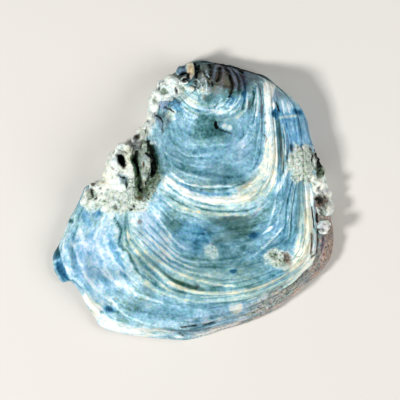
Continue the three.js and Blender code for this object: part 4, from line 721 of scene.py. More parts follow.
# Crusts of cemented sand, each a tuple of lumps: middle from above, radii from above, and top.
CRUSTS = {
    "left_crust": (
        ((-15.9, 12.6), (1.8, 3.2), 21.8), ((-15.7, 9), (1.7, 3), 21.2), ((-16.4, 5.2), (1.9, 2.6), 19.4),
        ((-20.8, 14.2), (1.9, 3.2), 19.6), ((-20, 17), (1.7, 1.9), 18.8), ((-20.2, 9.8), (2, 3.6), 19.4),
        ((-26, 11.4), (2.8, 3.4), 16.8), ((-27.4, 8.4), (2.3, 2.8), 14.6), ((-23.4, 8.8), (3, 3), 17.8),
        ((-23.2, 16.8), (2.6, 1.8), 16.4), ((-25.6, 14.2), (2.2, 1.8), 15.4),
        ((-23.4, 5.2), (3.2, 2.9), 16.2), ((-17.4, 18.2), (2.2, 2), 19), ((-18.9, 20.2), (1.5, 1.4), 16.2),
        ((-16.4, 21.8), (1.7, 2), 19.6), ((-31.2, 4.4), (2.8, 1.8), 12.6), ((-34.3, 2), (2.1, 2), 11.2),
        ((-28.4, 4.4), (2.8, 2.4), 14), ((-36.2, -0.8), (1.6, 2.2), 9.6), ((-30.6, 1.2), (2.4, 2), 13.2),
        ((-28.2, -2.8), (2.2, 2), 12.8),
    ),
    "beak_crust": (
        ((-1, 42.7), (1.5, 2.9), 16.6), ((-3.8, 42.8), (1.7, 1.5), 13.8), ((-2.4, 39.6), (1.8, 1.3), 17.2),
        ((-6.4, 39), (2.8, 2.3), 15.8), ((-5.2, 36.2), (3, 2), 16.8), ((-9.2, 37.6), (2.4, 2.2), 14),
        ((-11.4, 34.8), (2, 2.4), 13.4), ((-8.4, 34.4), (2.4, 1.9), 14.8), ((-12.8, 31.4), (1.9, 2.6), 14),
        ((-13.9, 27.6), (1.5, 2.5), 14.8), ((-15, 24), (1.2, 2.2), 17.6), ((-0.6, 36.8), (1.6, 1), 19.2),
    ),
    "right_crust": (
        ((41.4, 4.2), (2.8, 2.8), 12.6), ((38.6, 7.4), (2.3, 2.3), 14.2), ((43.8, 2), (1.7, 1.6), 9.8),
        ((44.7, -2.8), (1.6, 2.5), 10), ((42.4, -3.4), (1.7, 1.6), 13), ((43.4, -8.4), (2.4, 2.8), 13.8),
        ((42.4, 9), (1.5, 2.2), 10.2), ((40.5, 12.6), (1.2, 2.8), 11.4),
    ),
}
# Height of a lump's dome, how high its foot stands, and how far it stays above the roof of the hollow.
CRUST_DOME, CRUST_FOOT, CRUST_COVER = 3.6, 0.4, 2.2
LUMP_SUBDIVISIONS = 4
# The joined lumps are warped, by noise of this size and depth, and smoothed this many times.
CRUST_WARP, CRUST_SMOOTHING = (2.6, 0.9), 5

# Paint on the crusts, in the same form as SPOTS. Their holes and crevices are painted near black as shade.
CRUST_SPOTS = (
    ({"void": 1}, 1, -4, (-23.6, 13.2), (1.2, 2.2), 28),
    ({"umber": 0.8}, 1, -0.5, (-22.8, 11.3), (0.8, 0.9), 0),
    ({"void": 0.8}, 1, -1.5, (-19, 13.6), (0.8, 1), 0),
    ({"tone": 0.84, "sand": 0.2, "azure": 0.3}, 1, 0, (-15.9, 11), (1.8, 4.4), 0),
    ({"grime": 0.42}, 1, 0, (-15.9, 10.6), (1.8, 4.6), 0),
    ({"grime": 0.7}, 1, 0, (-15.5, 9.6), (0.5, 1.6), -10),
    ({"umber": 1}, 1, -0.6, (-16.3, 11.6), (0.45, 1.2), 0),
    ({"tone": 0.98}, 1, 0, (-14.6, 11.6), (0.5, 2.2), 0),
    ({"void": 0.7}, 1, -0.5, (-17, 17.4), (0.6, 0.9), 0),
    ({"void": 0.7}, 1, -0.4, (-19.3, 18), (0.5, 0.4), 0),
    ({"void": 0.6}, 1, -0.4, (-16.2, 16), (0.5, 0.4), 0),
    ({"void": 0.8}, 1, -0.5, (-16.8, 3.6), (0.5, 0.6), 0),
    ({"umber": 0.5}, 1, -0.4, (-17.6, 1.9), (0.5, 0.6), 0),
    ({"umber": 0.9}, 1, -0.4, (-18.5, 20.9), (0.8, 1), 0),
    ({"grime": 0.6}, 1, 0, (-16.4, 4.2), (2.4, 3.2), 0),
    ({"speckle": 0.9}, 1, 0, (-16.4, 4.2), (2.6, 3.2), 0),
    ({"void": 0.6}, 1, -1.2, (-18.6, 20.6), (1, 1.2), 0),
    ({"lavender": 0.7}, 1, 0, (-18.6, 18), (3.2, 1.6), 0),
    ({"grime": 0.7}, 1, 0, (-18, 17.6), (2.8, 1.8), 0),
    ({"grime": 0.5}, 1, 0, (-16, 21.4), (2.2, 2), 0),
    ({"tone": 0.35, "azure": 0.7}, 1, -0.8, (-22.9, 6.8), (1.2, 1.8), 30),
    ({"umber": 0.6}, 1, -0.3, (-26.6, 10.4), (0.9, 0.3), -35),
    ({"void": 0.6}, 1, -0.5, (-22.4, 15.8), (1, 0.4), -30),
    ({"cream": 0.5}, 1, 0, (-21, 15), (1.8, 3.6), 0),
    ({"void": 1}, 1, -2, (-33, 1.8), (0.6, 2), 30),
    ({"grime": 0.6}, 1, 0, (-33.6, 1.2), (1.8, 2.2), 20),
    ({"umber": 0.8}, 1, -0.3, (-33.2, 5.2), (0.7, 0.7), 0),
    ({"void": 0.5}, 1, -0.4, (-30.8, 3.8), (0.5, 0.5), 0),
    ({"void": 0.5}, 1, -0.4, (-28.2, 3.4), (0.6, 0.4), 0),
    ({"void": 0.5}, 1, -0.4, (-30.2, 2.2), (0.5, 0.4), 0),
    # beak
    ({"cream": 0.9}, 1, 0, (-0.9, 43.2), (1.4, 2.4), 0),
    ({"rose": 0.5}, 1, 0, (-0.9, 42.6), (1.4, 2.8), 0),
    ({"lavender": 0.5}, 1, 0, (-0.8, 41.2), (1.2, 0.9), 0),
    ({"void": 1}, 1, -2, (-2.8, 40.8), (2, 1.7), -35),
    ({"void": 0.8}, 1, -0.6, (-1.3, 39.1), (1.3, 0.4), -35),
    ({"tone": 0.46, "sand": 0, "lavender": 0.6}, 1, 0, (-3.8, 43.2), (2.2, 1.8), 30),
    ({"tone": 0.94}, 1, 0, (-7, 37.6), (5, 3), 40),
    ({"sand": 0.3, "grime": 0}, 0.9, 0, (-7, 37.6), (5, 3), 40),
    ({"void": 0.8}, 1, -0.8, (-5.5, 36.1), (0.5, 1.2), 14),
    ({"grime": 0.8}, 1, -0.3, (-9.6, 36), (1.2, 1), 0),
    ({"void": 0.7}, 1, -0.4, (-11.2, 37), (0.4, 0.8), 0),
    ({"grime": 0.5}, 1, 0, (-12.6, 32.6), (0.8, 1.4), 0),
    ({"void": 0.6}, 1, -0.3, (-15, 26.2), (0.6, 0.4), -30),
    # right
    ({"tone": 1}, 1, 0, (42.4, 4.4), (3.2, 3), 0),
    ({"sand": 0.15, "speckle": 0.1, "grime": 0.05}, 1, 0, (42.6, 4.2), (2.8, 2.8), 0),
    ({"cream": 0.2}, 1, 0, (41.6, 4.6), (2.8, 2.6), 0),
    ({"lavender": 0.4}, 1, 0, (44, 2.6), (1.3, 1.2), 0),
    ({"void": 0.95}, 1, -1.6, (41.9, -0.2), (1.3, 1.6), 0),
    ({"umber": 0.7}, 1, -0.3, (43.8, 0.2), (1.4, 1.2), 0),
    ({"grime": 0.45}, 1, 0, (43.2, -3), (1.6, 2.4), 0),
    ({"rose": 0.4}, 1, 0, (45, -2.6), (1.4, 2.2), 0),
    ({"umber": 0.3}, 1, 0, (42.4, -2.2), (1.4, 1.2), 0),
    ({"lavender": 0.4}, 1, 0, (43.4, -8.6), (2.2, 2.2), 0),
    ({"umber": 0.8}, 1, -0.3, (44.4, -6.2), (1.3, 0.6), -15),
    ({"grime": 0.8}, 1, 0, (42, 9.6), (1.8, 2.4), 0),
    ({"void": 0.8}, 1, -0.6, (41.2, 12.8), (0.7, 2.8), 10),
)

# Grain of the crusts: sizes and depths in mm. There is none below the first height of CRUST_CALM, near the
# rim, and all of it above the second.
CRUST_GRAINS = ((3.0, 0.50), (1.4, 0.30), (0.7, 0.16))
CRUST_CALM = (0.6, 2.0)
# Painted shade in its hollows: the depth where it starts, as a share of the greatest, its slope and its
# limit.
HOLLOW_SHADE, DARKEST_HOLLOW = (0.26, 2.2), 0.8
# Grain of the sand and the grit on the valve. Raised grit is paler, by this much tone for each mm.
SAND_GRAINS = ((1.6, 0.30), (0.8, 0.22))
GRIT_GRAINS = ((2.2, 0.50), (1.1, 0.35))
GRIT_CONTRAST = 0.9
# The crusts have no growth stage and rays. Their height, east and north stand in: axis, and scale to a mm.
CRUST_PLACES = ((2, 0.02), (0, 0.2), (1, 0.2))

# Roughness that breaks the edges of spots and strokes: sizes in mm and strengths.
SPOT_ROUGHNESS = ((1.3, 0.6), (0.6, 0.4))
STROKE_ROUGHNESS = ((1.0, 0.5), (0.5, 0.5))
# How soft their edges are: at most a share of the size, else some mm, at least a share; and how ragged.
SPOT_EDGE, SPOT_BLUR, SPOT_LEAST, SPOT_RAGGED = 0.30, 0.28, 0.12, 0.38
STROKE_EDGE, STROKE_BLUR, STROKE_RAGGED = 0.45, 0.16, 0.30
# Bands: softness in stages and in rays, how far their ends overlap, and how far those waver, in rays.
BAND_EDGE, BAND_END, BAND_OVERLAP, BAND_WAVER = 0.010, 1.1, 0.6, 0.7
# Growth lines: where they fade, in half widths, how they end, in rays, and how they waver, in stages.
LINE_EDGE, LINE_END, LINE_WAVER = (0.4, 1.25), 0.3, 0.0035
# The wavering: sizes and strengths, in lumps over the whole growth and from the middle to the side.
WAVER_GRAINS = ((1.0, 0.6), (0.4, 0.4))
WAVER_ACROSS, WAVER_ALONG = 40, 6

# The random fine growth lines: ranges of stage, half width, rays spanned and waves to a ray, the height of
# the waves, the rays over which a line ends, its greatest strength, and its contrast in tone.
FINE_STAGES, FINE_WIDTHS, FINE_SPANS, FINE_BENDS = (0.14, 0.985), (0.0016, 0.0050), (3, 16), (0.5, 1.8)
FINE_WAVE, FINE_END, FINE_LIMIT, FINE_CONTRAST = 0.009, 1.5, 1.6, 0.13
# How unevenly they are broken: size in mm and strength. What is left of them where the shell isn't lined,
# in contrast and relief, and of all fine relief on the walls.
FINE_BREAKS = (1.1, 0.6)
PLAIN_CONTRAST, PLAIN_RELIEF, WALL_RELIEF = 0.35, 0.5, 0.35
# Stages where the outer face's relief ends, where its paint ends, and where the underside's starts.
OUTER_END, TOP_END, UNDER_START = (0.990, 1.012), 1.02, (1.005, 1.03)
# Steep walls are painted unrolled: where their normals point up by less than this, and from the umbo on,
# over so many stages.
WALL_LEVELS, WALL_START = (0.22, 0.50), 0.08

# Unpainted surfaces: layer, middle value, spread, size of its lumps in mm, seed, and greatest value.
VALVE_GROUND = (
    ("tone", 0.5, 0.08, 6, 8, 1), ("lined", 0.75, 0.25, 7, 11, 1), ("azure", 0.15, 0.45, 8, 12, 0.6),
    ("grime", -0.08, 0.45, 5, 13, 0.35),
)
CRUST_GROUND = (
    ("tone", 1, 0.10, 2.4, 9, 1.1), ("sand", 0.45, 0.4, 3, 10, 1), ("grime", -0.08, 0.45, 3.4, 14, 0.35),
    ("cream", 0.10, 0.4, 4.4, 19, 0.4), ("speckle", 0.12, 0.4, 4, 18, 0.6),
)

# Stains and painted shade, the lowest first: blend, colour, and the slope and offset by which they gather in
# the specks. The near-black void layer is painted shade in holes, slits, grooves and crevices, and grime is
# partly an olive stain and partly painted shade in grooves and crevices. Azure and sand have ramps of
# colours, over the tone of the shell and over the grit of the sand.
STAINS = {
    "azure": ("MIX", None, 1.2, 0.4), "sand": ("MIX", None, 1.2, 0.4),
    "cream": ("MULTIPLY", "#F3E3BC", 1.2, 0.4), "rose": ("MULTIPLY", "#CBA8A0", 1.2, 0.4),
    "lavender": ("MULTIPLY", "#A79FC0", 1.2, 0.4), "grime": ("MULTIPLY", "#5B7253", 1.2, 0.4),
    "umber": ("MIX", "#4E3120", 1.2, 0.4),
    "speckle": ("MIX", "#3A322A", 7.0, -3.5), "void": ("MIX", "#050A06", 1.2, 0.6),
}
LAYERS = ("tone", "lined", *STAINS)
PLACE_LAYERS = ("growth", "ray_east", "ray_north")
AZURE_TONES = ((0.0, "#0B3F60"), (0.3, "#33769C"), (0.6, "#76AFD0"), (1.0, "#DCEEF8"))
SAND_TONES = ((0.10, "#4A5A46"), (0.28, "#A9BBA9"), (0.46, "#DDEAE0"), (0.66, "#FFFFF8"))
SAND_SLOPE, SAND_OFFSET = 1.9, -0.5
# Cream where the warm streaks are high and olive where they are low: colour, slope and offset.
WARM_COLOURS = (("#F4E8C8", 6.0, -3.3), ("#B6BFA2", -6.0, 2.6))

# Noise of the materials: lumps to a millimetre, detail and roughness.
MOTTLE, SPECK, SAND_SPECK = (0.25, 4, 0.6), (1.0, 2, 0.5), (1.3, 2, 0.6)
GRIT, FLECK = (0.9, 4, 0.7), (1.1, 3, 0.7)
# Streaks: lumps over the whole growth and from the middle to the side, detail and roughness.
FINE_STREAKS, BROAD_STREAKS, WARM_STREAKS = (105, 20, 3, 0.6), (52, 7, 2, 0.5), (85, 7, 2, 0.5)
# How strongly mottling, specks and streaks are felt in the tone, and how strong streaks are at most.
MOTTLE_TONE, SPECK_TONE, STREAK_TONE, STREAK_STRENGTH = 0.75, 0.32, 0.6, 1.9
# The waver of the streaks in stages, the weight of the broad ones to the fine ones, and the share of flecks.
STREAK_WAVER, BROAD_SHARE, FLECK_SHARE = 0.02, 0.6, 0.40
# Bumps finer than the mesh: strength, depth in mm, and the weight of fine streaks to specks.
BUMP_STRENGTH, BUMP_DEPTH, BUMP_LINES = 0.5, 0.3, 0.6
CALCITE_IOR = 1.55
# Dust in the pores takes most of the shine.
DUSTY_SHINE = 0.06
# Numbers of the sockets of a colour mixing node.
MIX_SHARE, MIX_BELOW, MIX_ABOVE, MIX_RESULT = 0, 6, 7, 2
# Primes that scatter the corners of the noise, and the steps of the weights that relief is carved with.
HASH_FACTORS = (73856093, 19349663, 83492791)
WEIGHT_STEPS = 250

# The stage, in metres: floor, square lamps with place, width and watts, sky, and a far camera with a long
# lens, so that the shell hardly shows perspective.
FLOOR_WIDTH, FLOOR_COLOUR, FLOOR_ROUGHNESS = 1.6, "#D2CEC8", 0.9
LAMPS = (("key", (-0.46, -0.16, 0.62), 0.14, 5.7), ("fill", (0.55, -0.05, 0.50), 0.50, 3.7))
SKY_COLOUR, SKY_STRENGTH = "#F4F6F8", 0.24
CAMERA_PLACE, CAMERA_LENS, CAMERA_REACH = (0.002333, 0, 2.003), 540, 10


def linear(hex_colour):
    """An sRGB hex colour as the linear red, green, blue and alpha that Blender works in."""
    channels = [int(hex_colour[i:i + 2], 16) / 255 for i in (1, 3, 5)]
    return [c / 12.92 if c <= 0.04045 else ((c + 0.055) / 1.055) ** 2.4 for c in channels] + [1.0]


def fade(low, high, value):
    """0 below low, 1 above high, and smooth between."""
    t = np.clip((value - low) / (high - low), 0, 1)
    return t * t * (3 - 2 * t)


def within(low, high, soft, value):
    """1 from low to high, and fading to 0 over soft just inside each end."""
    return fade(low, low + soft, value) * (1 - fade(high - soft, high, value))


def closed_curve(points, place):
    """The points at place, counted in points, of a closed smooth curve through points."""
    points = np.asarray(points, float)
    whole = np.floor(place).astype(int)
    part = (place - whole)[:, None]
    a, b, c, d = (points[(whole + k) % len(points)] for k in (-1, 0, 1, 2))
    bend = 2 * a - 5 * b + 4 * c - d
    return 0.5 * (2 * b + part * (c - a + part * (bend + part * (3 * (b - c) + d - a))))


def grain(points, size, seed):
    """Smooth noise from -1 to 1 whose lumps are about size across, at points of any dimension."""
    cell = points / size + seed * 17.3
    corner = np.floor(cell).astype(np.int64)
    part = cell - corner
    part = part * part * (3 - 2 * part)
    axes = points.shape[1]
    total = np.zeros(len(points))
    for k in range(2 ** axes):
        offset = np.array([(k >> axis) & 1 for axis in range(axes)])
        key = ((corner + offset) * np.array(HASH_FACTORS)[:axes]).sum(1) + seed * 1013
        key = ((key ^ (key >> 13)) * 1274126177) & 0x7FFFFFFF
        value = ((key ^ (key >> 16)) & 0xFFFF) / 32767.5 - 1
        total += value * np.where(offset, part, 1 - part).prod(1)
    return total


def grains(points, rows, seed):
    """Noise of several sizes together, from rows of size and strength."""
    return sum(strength * grain(points, size, seed + k) for k, (size, strength) in enumerate(rows))


def at_least(least, share):
    """A share from 0 to 1 squeezed into the range from least to 1."""
    return least + (1 - least) * share


def between(start, end, share):
    return start + (end - start) * np.asarray(share)[:, None]


def gap(start, end):
    return np.linalg.norm(end - start, axis=1)


def station_points(ray):
    """Where the rays cross each named stage of the outer face."""
    margin = closed_curve(MARGIN, ray * MARGIN_POINTS)
    ledge = closed_curve(LEDGE, ray)
    ridge = closed_curve(RIDGE, ray)
    lower = closed_curve(np.array(LOWER_LAYER)[:, None], ray * MARGIN_POINTS)[:, 0]
    layer = between(margin, ridge, np.minimum(MOST_LAYER, lower / gap(margin, ridge)))
    angle = np.arctan2(ledge[:, 1] - BEAK[1], ledge[:, 0] - BEAK[0])
    umbo = np.array(UMBO_CENTRE) + np.array(UMBO_RADII) * np.stack([np.cos(angle), np.sin(angle)], 1)
    beak = np.tile(np.array(BEAK), (len(ray), 1))
    return [beak, umbo, ledge, ridge, layer, margin]


def steepness(stations):
    """1 where the shell falls steeply from the ledge to its edge, and 0 where it lies open."""
    return 1 - fade(STEEP_BAND, OPEN_BAND, gap(stations[2], stations[5]))


def smooth_height(stage, column):
    """Height of the smooth shell, by a curve through HEIGHTS whose slopes are finite differences."""
    rows = np.array(HEIGHTS)
    stages, heights = rows[:, 0], rows[:, column]
    last = len(rows) - 1
    before = np.maximum(np.arange(last + 1) - 1, 0)
    after = np.minimum(np.arange(last + 1) + 1, last)
    slopes = (heights[after] - heights[before]) / (stages[after] - stages[before])
    nxt = np.clip(np.searchsorted(stages, stage), 1, last)
    span = stages[nxt] - stages[nxt - 1]
    t = (stage - stages[nxt - 1]) / span
    rise = t * t * (3 - 2 * t)
    bend = t * (1 - t) * span * ((1 - t) * slopes[nxt - 1] - t * slopes[nxt])
    return heights[nxt - 1] + (heights[nxt] - heights[nxt - 1]) * rise + bend


def ledge_relief(ray, stage):
    """How far the growth ledges raise the surface."""
    raised = np.zeros(len(stage))
    for lip_stage, lip, width, rays in LEDGES:
        local = within(*rays, LEDGE_FADE, ray) if rays else 1.0
        fall = np.maximum(0, 1 - (stage - lip_stage) / DROP)
        climb = np.exp(np.minimum(0, stage - lip_stage) / width)
        raised += lip * local * np.where(stage > lip_stage, fall, climb)
    return raised


def swell_relief(place, stage):
    """How far the swells raise the surface at a place seen from above, less at the very edge."""
    raised = np.zeros(len(stage))
    for middle, radii, height in SWELLS:
        raised += height * (1 - fade(0, 1, np.hypot(*((place - middle) / radii).T)))
    return raised * (1 - fade(STAGE_LAYER, STAGE_MARGIN, stage))


def outer_face(stage, ray):
    """Points of the outer face, from the beak to the edge."""
    stations = station_points(ray)
    stages = (STAGE_BEAK, STAGE_UMBO, STAGE_LEDGE, STAGE_RIDGE, STAGE_LAYER, STAGE_MARGIN)
    place = np.zeros((len(ray), 2))
    for k in range(len(stages) - 1):
        here = (stage >= stages[k]) & (stage <= stages[k + 1])
        share = (stage - stages[k]) / (stages[k + 1] - stages[k])
        place[here] = between(stations[k], stations[k + 1], share)[here]
    steep = steepness(stations)
    smooth = smooth_height(stage, 1) * (1 - steep) + smooth_height(stage, 2) * steep
    ledges = ledge_relief(ray, stage) * (1 - STEEP_LEDGE_LOSS * steep)
    return np.column_stack([place, smooth + ledges + swell_relief(place, stage)])


def in_scar(place):
    """How far each point lies in the muscle scar."""
    return 1 - fade(*SCAR_EDGE, np.hypot(*((place[:, :2] - SCAR_CENTRE) / SCAR_RADII).T))


def in_ligament_pit(place):
    """How deep each point lies in the ligament pit, from 0 at its sides to 1 in its middle."""
    along = np.clip(PIT_TIP[1] - place[:, 1], 0.01, None)
    across = np.abs(place[:, 0] - PIT_TIP[0]) / (PIT_HALF_WIDTH * along / PIT_LENGTH)
    ends = fade(0, PIT_TIP_FADE, along) * (1 - fade(PIT_LENGTH - PIT_END_FADE, PIT_LENGTH, along))
    return np.clip(1 - across, 0, 1) * ends


def hollow_height(place):
    """Height of the roof of the hollow over a place, and 0 outside it."""
    edge = closed_curve(HOLLOW_EDGE, np.linspace(0, RAYS, 10 * RAYS)) - HOLLOW_CENTRE
    here = place[:, :2] - HOLLOW_CENTRE
    bearing, edge_bearing = (np.arctan2(where[:, 1], where[:, 0]) for where in (here, edge))
    reach = np.interp(bearing, edge_bearing, np.hypot(*edge.T), period=2 * math.pi)
    return HOLLOW_DEPTH * (1 - np.clip(np.hypot(*here.T) / reach, 0, 1) ** HOLLOW_ROUNDNESS)


def under_face(stage, ray):
    """Points of the edge wall, the flat rim and the hollow."""
    margin = outer_face(np.ones(len(ray)), ray)
    centre = np.tile(np.array(HOLLOW_CENTRE), (len(ray), 1))
    edge = closed_curve(HOLLOW_EDGE, ray)
    reach = gap(margin[:, :2], centre)
    level = np.zeros(len(ray))
    waist = np.column_stack([between(margin[:, :2], centre, WAIST_INSET / reach), level + WAIST_HEIGHT])
    foot = np.column_stack([between(margin[:, :2], centre, EDGE_UNDERCUT / reach), level])
    rim = np.column_stack([edge, level])
    place = np.zeros((len(ray), 3))
    parts = ((STAGE_MARGIN, STAGE_WAIST, margin, waist), (STAGE_WAIST, STAGE_FOOT, waist, foot),
             (STAGE_FOOT, STAGE_RIM, foot, rim))
    for low, high, start, end in parts:
        here = (stage >= low) & (stage <= high)
        place[here] = between(start, end, (stage - low) / (high - low))[here]
    here = stage > STAGE_RIM
    step = np.clip((STAGE_CENTRE - stage) / (STAGE_CENTRE - STAGE_RIM), 0, 1)
    height = HOLLOW_DEPTH * (1 - step ** HOLLOW_ROUNDNESS)
    place[here] = np.column_stack([between(centre, edge, step), height])[here]
    sunk = SCAR_DEPTH * in_scar(place) + PIT_DEPTH * in_ligament_pit(place)
    place[:, 2] += (stage > STAGE_FOOT) * sunk
    return place


def shell_points(stage, ray):
    outside = (stage <= STAGE_MARGIN)[:, None]
    return np.where(outside, outer_face(np.minimum(stage, 1), ray), under_face(stage, ray))


def deselect():
    bpy.ops.object.select_all(action="DESELECT")


def make_cage():
    """The growth lines as a coarse cage: a disc at the beak, then loop after loop extruded from its edge."""
    deselect()
    bpy.ops.mesh.primitive_circle_add(vertices=CAGE_COLUMNS, radius=1 * MM, fill_type="TRIFAN")
    cage = bpy.context.object
    cage.name = cage.data.name = "shell_valve"
    for name in PLACE_LAYERS:
        cage.data.attributes.new(name, "FLOAT", "POINT")
    bpy.ops.object.mode_set(mode="EDIT")
    bpy.ops.mesh.select_mode(type="EDGE")
    mesh = bmesh.from_edit_mesh(cage.data)
    growth, east, north = (mesh.verts.layers.float[name] for name in PLACE_LAYERS)
    for edge in mesh.edges:
        edge.select_set(edge.is_boundary)
    for vertex in mesh.verts:
        if vertex.select:
            vertex[east], vertex[north] = vertex.co.x / MM, vertex.co.y / MM
            vertex[growth] = 1 / OUTER_ROWS
    stages = [row / OUTER_ROWS for row in range(2, OUTER_ROWS + 1)] + list(UNDER_ROWS) + [STAGE_CENTRE]
    for stage in stages:
        bpy.ops.mesh.extrude_region()
        mesh = bmesh.from_edit_mesh(cage.data)
        growth, east, north = (mesh.verts.layers.float[name] for name in PLACE_LAYERS)
        for vertex in mesh.verts:
            if vertex.select:
                vertex[growth] = stage
                if stage == STAGE_CENTRE:
                    vertex[east] = vertex[north] = 0
    bpy.ops.mesh.merge(type="CENTER")
    bpy.ops.object.mode_set(mode="OBJECT")
    return cage


def read_attribute(mesh, name):
    values = np.zeros(len(mesh.vertices))
    mesh.attributes[name].data.foreach_get("value", values)
    return values


def write_attribute(mesh, name, values):
    layer = mesh.attributes.get(name) or mesh.attributes.new(name, "FLOAT", "POINT")
    layer.data.foreach_set("value", np.asarray(values, np.float32))


def growth_place(mesh):
    """Growth stage and ray of every vertex. A ray runs clockwise from the back, as a compass does."""
    stage = np.clip(read_attribute(mesh, "growth"), 0, STAGE_CENTRE)
    bearing = np.arctan2(read_attribute(mesh, "ray_east"), read_attribute(mesh, "ray_north"))
    return stage, (bearing / (2 * math.pi) * RAYS) % RAYS


def read_vectors(mesh, name):
    vectors = np.zeros(len(mesh.vertices) * 3)
    mesh.vertices.foreach_get(name, vectors)
    return vectors.reshape(-1, 3)


def get_points(mesh):
    return read_vectors(mesh, "co") / MM


def set_points(mesh, points):
    mesh.vertices.foreach_set("co", (points * MM).astype(np.float32).ravel())
    mesh.update()


def modify(piece, kind, **settings):
    """Adds a modifier with its settings and applies it."""
    modifier = piece.modifiers.new(kind, kind)
    for name, value in settings.items():
        setattr(modifier, name, value)
    bpy.ops.object.modifier_apply(modifier=modifier.name)


def carve(piece, relief, direction="NORMAL"):
    """Raises and sinks the surface by relief, in millimetres at each vertex, through painted weights."""
    for name, sign in (("raised", 1), ("sunk", -1)):
        part = np.clip(relief * sign, 0, None)
        most = max(part.max(), 1e-6)
        group = piece.vertex_groups.new(name=name)
        steps = np.round(part / most * WEIGHT_STEPS).astype(int)
        order = np.argsort(steps, kind="stable")
        edges = np.searchsorted(steps[order], np.arange(1, WEIGHT_STEPS + 2))
        for level in range(1, WEIGHT_STEPS + 1):
            chosen = order[edges[level - 1]:edges[level]]
            if len(chosen):
                group.add(chosen.tolist(), level / WEIGHT_STEPS, "REPLACE")
        modify(piece, "DISPLACE", strength=sign * most * MM, mid_level=0, direction=direction,
               vertex_group=name)
        piece.vertex_groups.clear()


def band_mask(stage, ray, wobble, stages, rays):
    """How far each point lies within a band of stages and rays, its edges wavering with the wobble."""
    low, high = stages
    soft = min(BAND_EDGE, (high - low) / 3)
    across = within(low - soft, high + soft, 2 * soft, stage + wobble * soft)
    span = rays[1] - rays[0]
    if span >= RAYS:
        return across
    along = (ray - rays[0] + BAND_WAVER * wobble + BAND_OVERLAP / 2) % RAYS
    return across * within(0, span + BAND_OVERLAP, min(BAND_END, span / 2.2), along)


def line_mask(stage, ray, wobble, half_width, path):
    """How far each point lies within a growth line that passes through a path of rays and stages."""
    rays, stages = np.array(path).T
    away = np.abs(stage + LINE_WAVER * wobble - np.interp(ray, rays, stages)) / half_width
    ends = within(rays[0] - LINE_END, rays[-1] + LINE_END, 2 * LINE_END, ray)
    return ends * (1 - fade(*LINE_EDGE, away))


def spot_mask(points, rough, middle, radii, turn):
    """How far each point lies within an ellipse, its edge broken by roughness."""
    angle = math.radians(turn)
    east, north = (points[:, :2] - middle).T
    along = east * math.cos(angle) + north * math.sin(angle)
    across = north * math.cos(angle) - east * math.sin(angle)
    edge = min(SPOT_EDGE, SPOT_BLUR / min(radii)) + SPOT_LEAST
    distance = np.hypot(along / radii[0], across / radii[1]) + SPOT_RAGGED * rough
    return 1 - fade(1 - edge, 1 + edge, distance)


def stroke_mask(points, rough, half_width, places):
    """How far each point lies within a stroke along places, its edge broken by roughness."""
    nearest = np.full(len(points), np.inf)
    for start, end in zip(places, places[1:]):
        step = np.subtract(end, start)
        share = np.clip((points[:, :2] - start) @ step / (step @ step), 0, 1)
        nearest = np.minimum(nearest, np.linalg.norm(points[:, :2] - start - share[:, None] * step, axis=1))
    edge = min(STROKE_EDGE, STROKE_BLUR / half_width)
    return 1 - fade(1 - edge, 1 + edge, nearest / half_width + STROKE_RAGGED * rough)


def lay_ground(points, rows):
    """Values of all layers before anything is painted, from rows like those of VALVE_GROUND."""
    values = {layer: np.zeros(len(points)) for layer in LAYERS}
    for layer, middle, spread, size, seed, most in rows:
        values[layer] = np.clip(middle + spread * grain(points, size, seed), 0, most)
    return values


def paint(values, layers, share):
    """Moves layers towards their values. The layer "clear" stands for all the stains and the painted shade.
    """
    for layer, target in layers.items():
        for name in STAINS if layer == "clear" else (layer,):
            values[name] += (target - values[name]) * share


def paint_rows(values, rows, mask_of):
    """Paints rows of layers, strength, rise and place, and returns how far they raise the surface."""
    relief = 0
    for layers, strength, lift, *place in rows:
        mask = mask_of(*place)
        paint(values, layers, strength * mask)
        relief = relief + lift * mask
    return relief


def paint_spots(values, points, spots):
    """Paints the spots, and returns how far they raise the surface."""
    rough = grains(points[:, :2], SPOT_ROUGHNESS, 5)
    return paint_rows(values, spots, lambda *place: spot_mask(points, rough, *place))


def paint_strokes(values, points, strokes):
    """Paints the strokes, and returns how far they raise the surface."""
    rough = grains(points[:, :2], STROKE_ROUGHNESS, 15)
    return paint_rows(values, strokes, lambda *place: stroke_mask(points, rough, *place))


def random_lines(stage, ray, count):
    """Fine growth lines of uneven strength, each along a stretch of rays."""
    random = np.random.default_rng(7)
    total = np.zeros(len(stage))
    for _ in range(count):
        centre = random.uniform(*FINE_STAGES)
        width = random.uniform(*FINE_WIDTHS)
        start, span = random.uniform(0, RAYS), random.uniform(*FINE_SPANS)
        strength = random.normal()
        wave = FINE_WAVE * np.sin(ray * random.uniform(*FINE_BENDS) + random.uniform(0, 6))
        reach = within(0, span, FINE_END, (ray - start) % RAYS)
        total += strength * reach * np.exp(-((stage + wave - centre) / width) ** 2)
    return np.clip(total, -FINE_LIMIT, FINE_LIMIT)


class ShellSizes(bpy.types.PropertyGroup):
    """Sizes of the shell's fine relief."""

    line_count: IntProperty(
        name="Growth lines", description="How many fine growth lines there are", default=220)
    line_depth: FloatProperty(
        name="Line depth", description="Relief of the strongest fine growth line", default=0.22 * MM,
        unit="LENGTH", precision=5)
    crust_voxel: FloatProperty(
        name="Crust detail", description="Size of the smallest lump that the crusts keep", default=0.36 * MM,
        unit="LENGTH", precision=5)


class ShellColours(bpy.types.PropertyGroup):
    """Colours of the shell and its crusts."""

    darkest: FloatVectorProperty(
        name="Dark teal", description="Darkest tone of the shell", subtype="COLOR", size=4,
        default=linear("#1C3F42"))
    middle: FloatVectorProperty(
        name="Grey blue", description="Middle tone of the shell", subtype="COLOR", size=4,
        default=linear("#7DA9B6"))
    palest: FloatVectorProperty(
        name="Pale lines", description="Palest tone of the shell", subtype="COLOR", size=4,
        default=linear("#F5F8F3"))


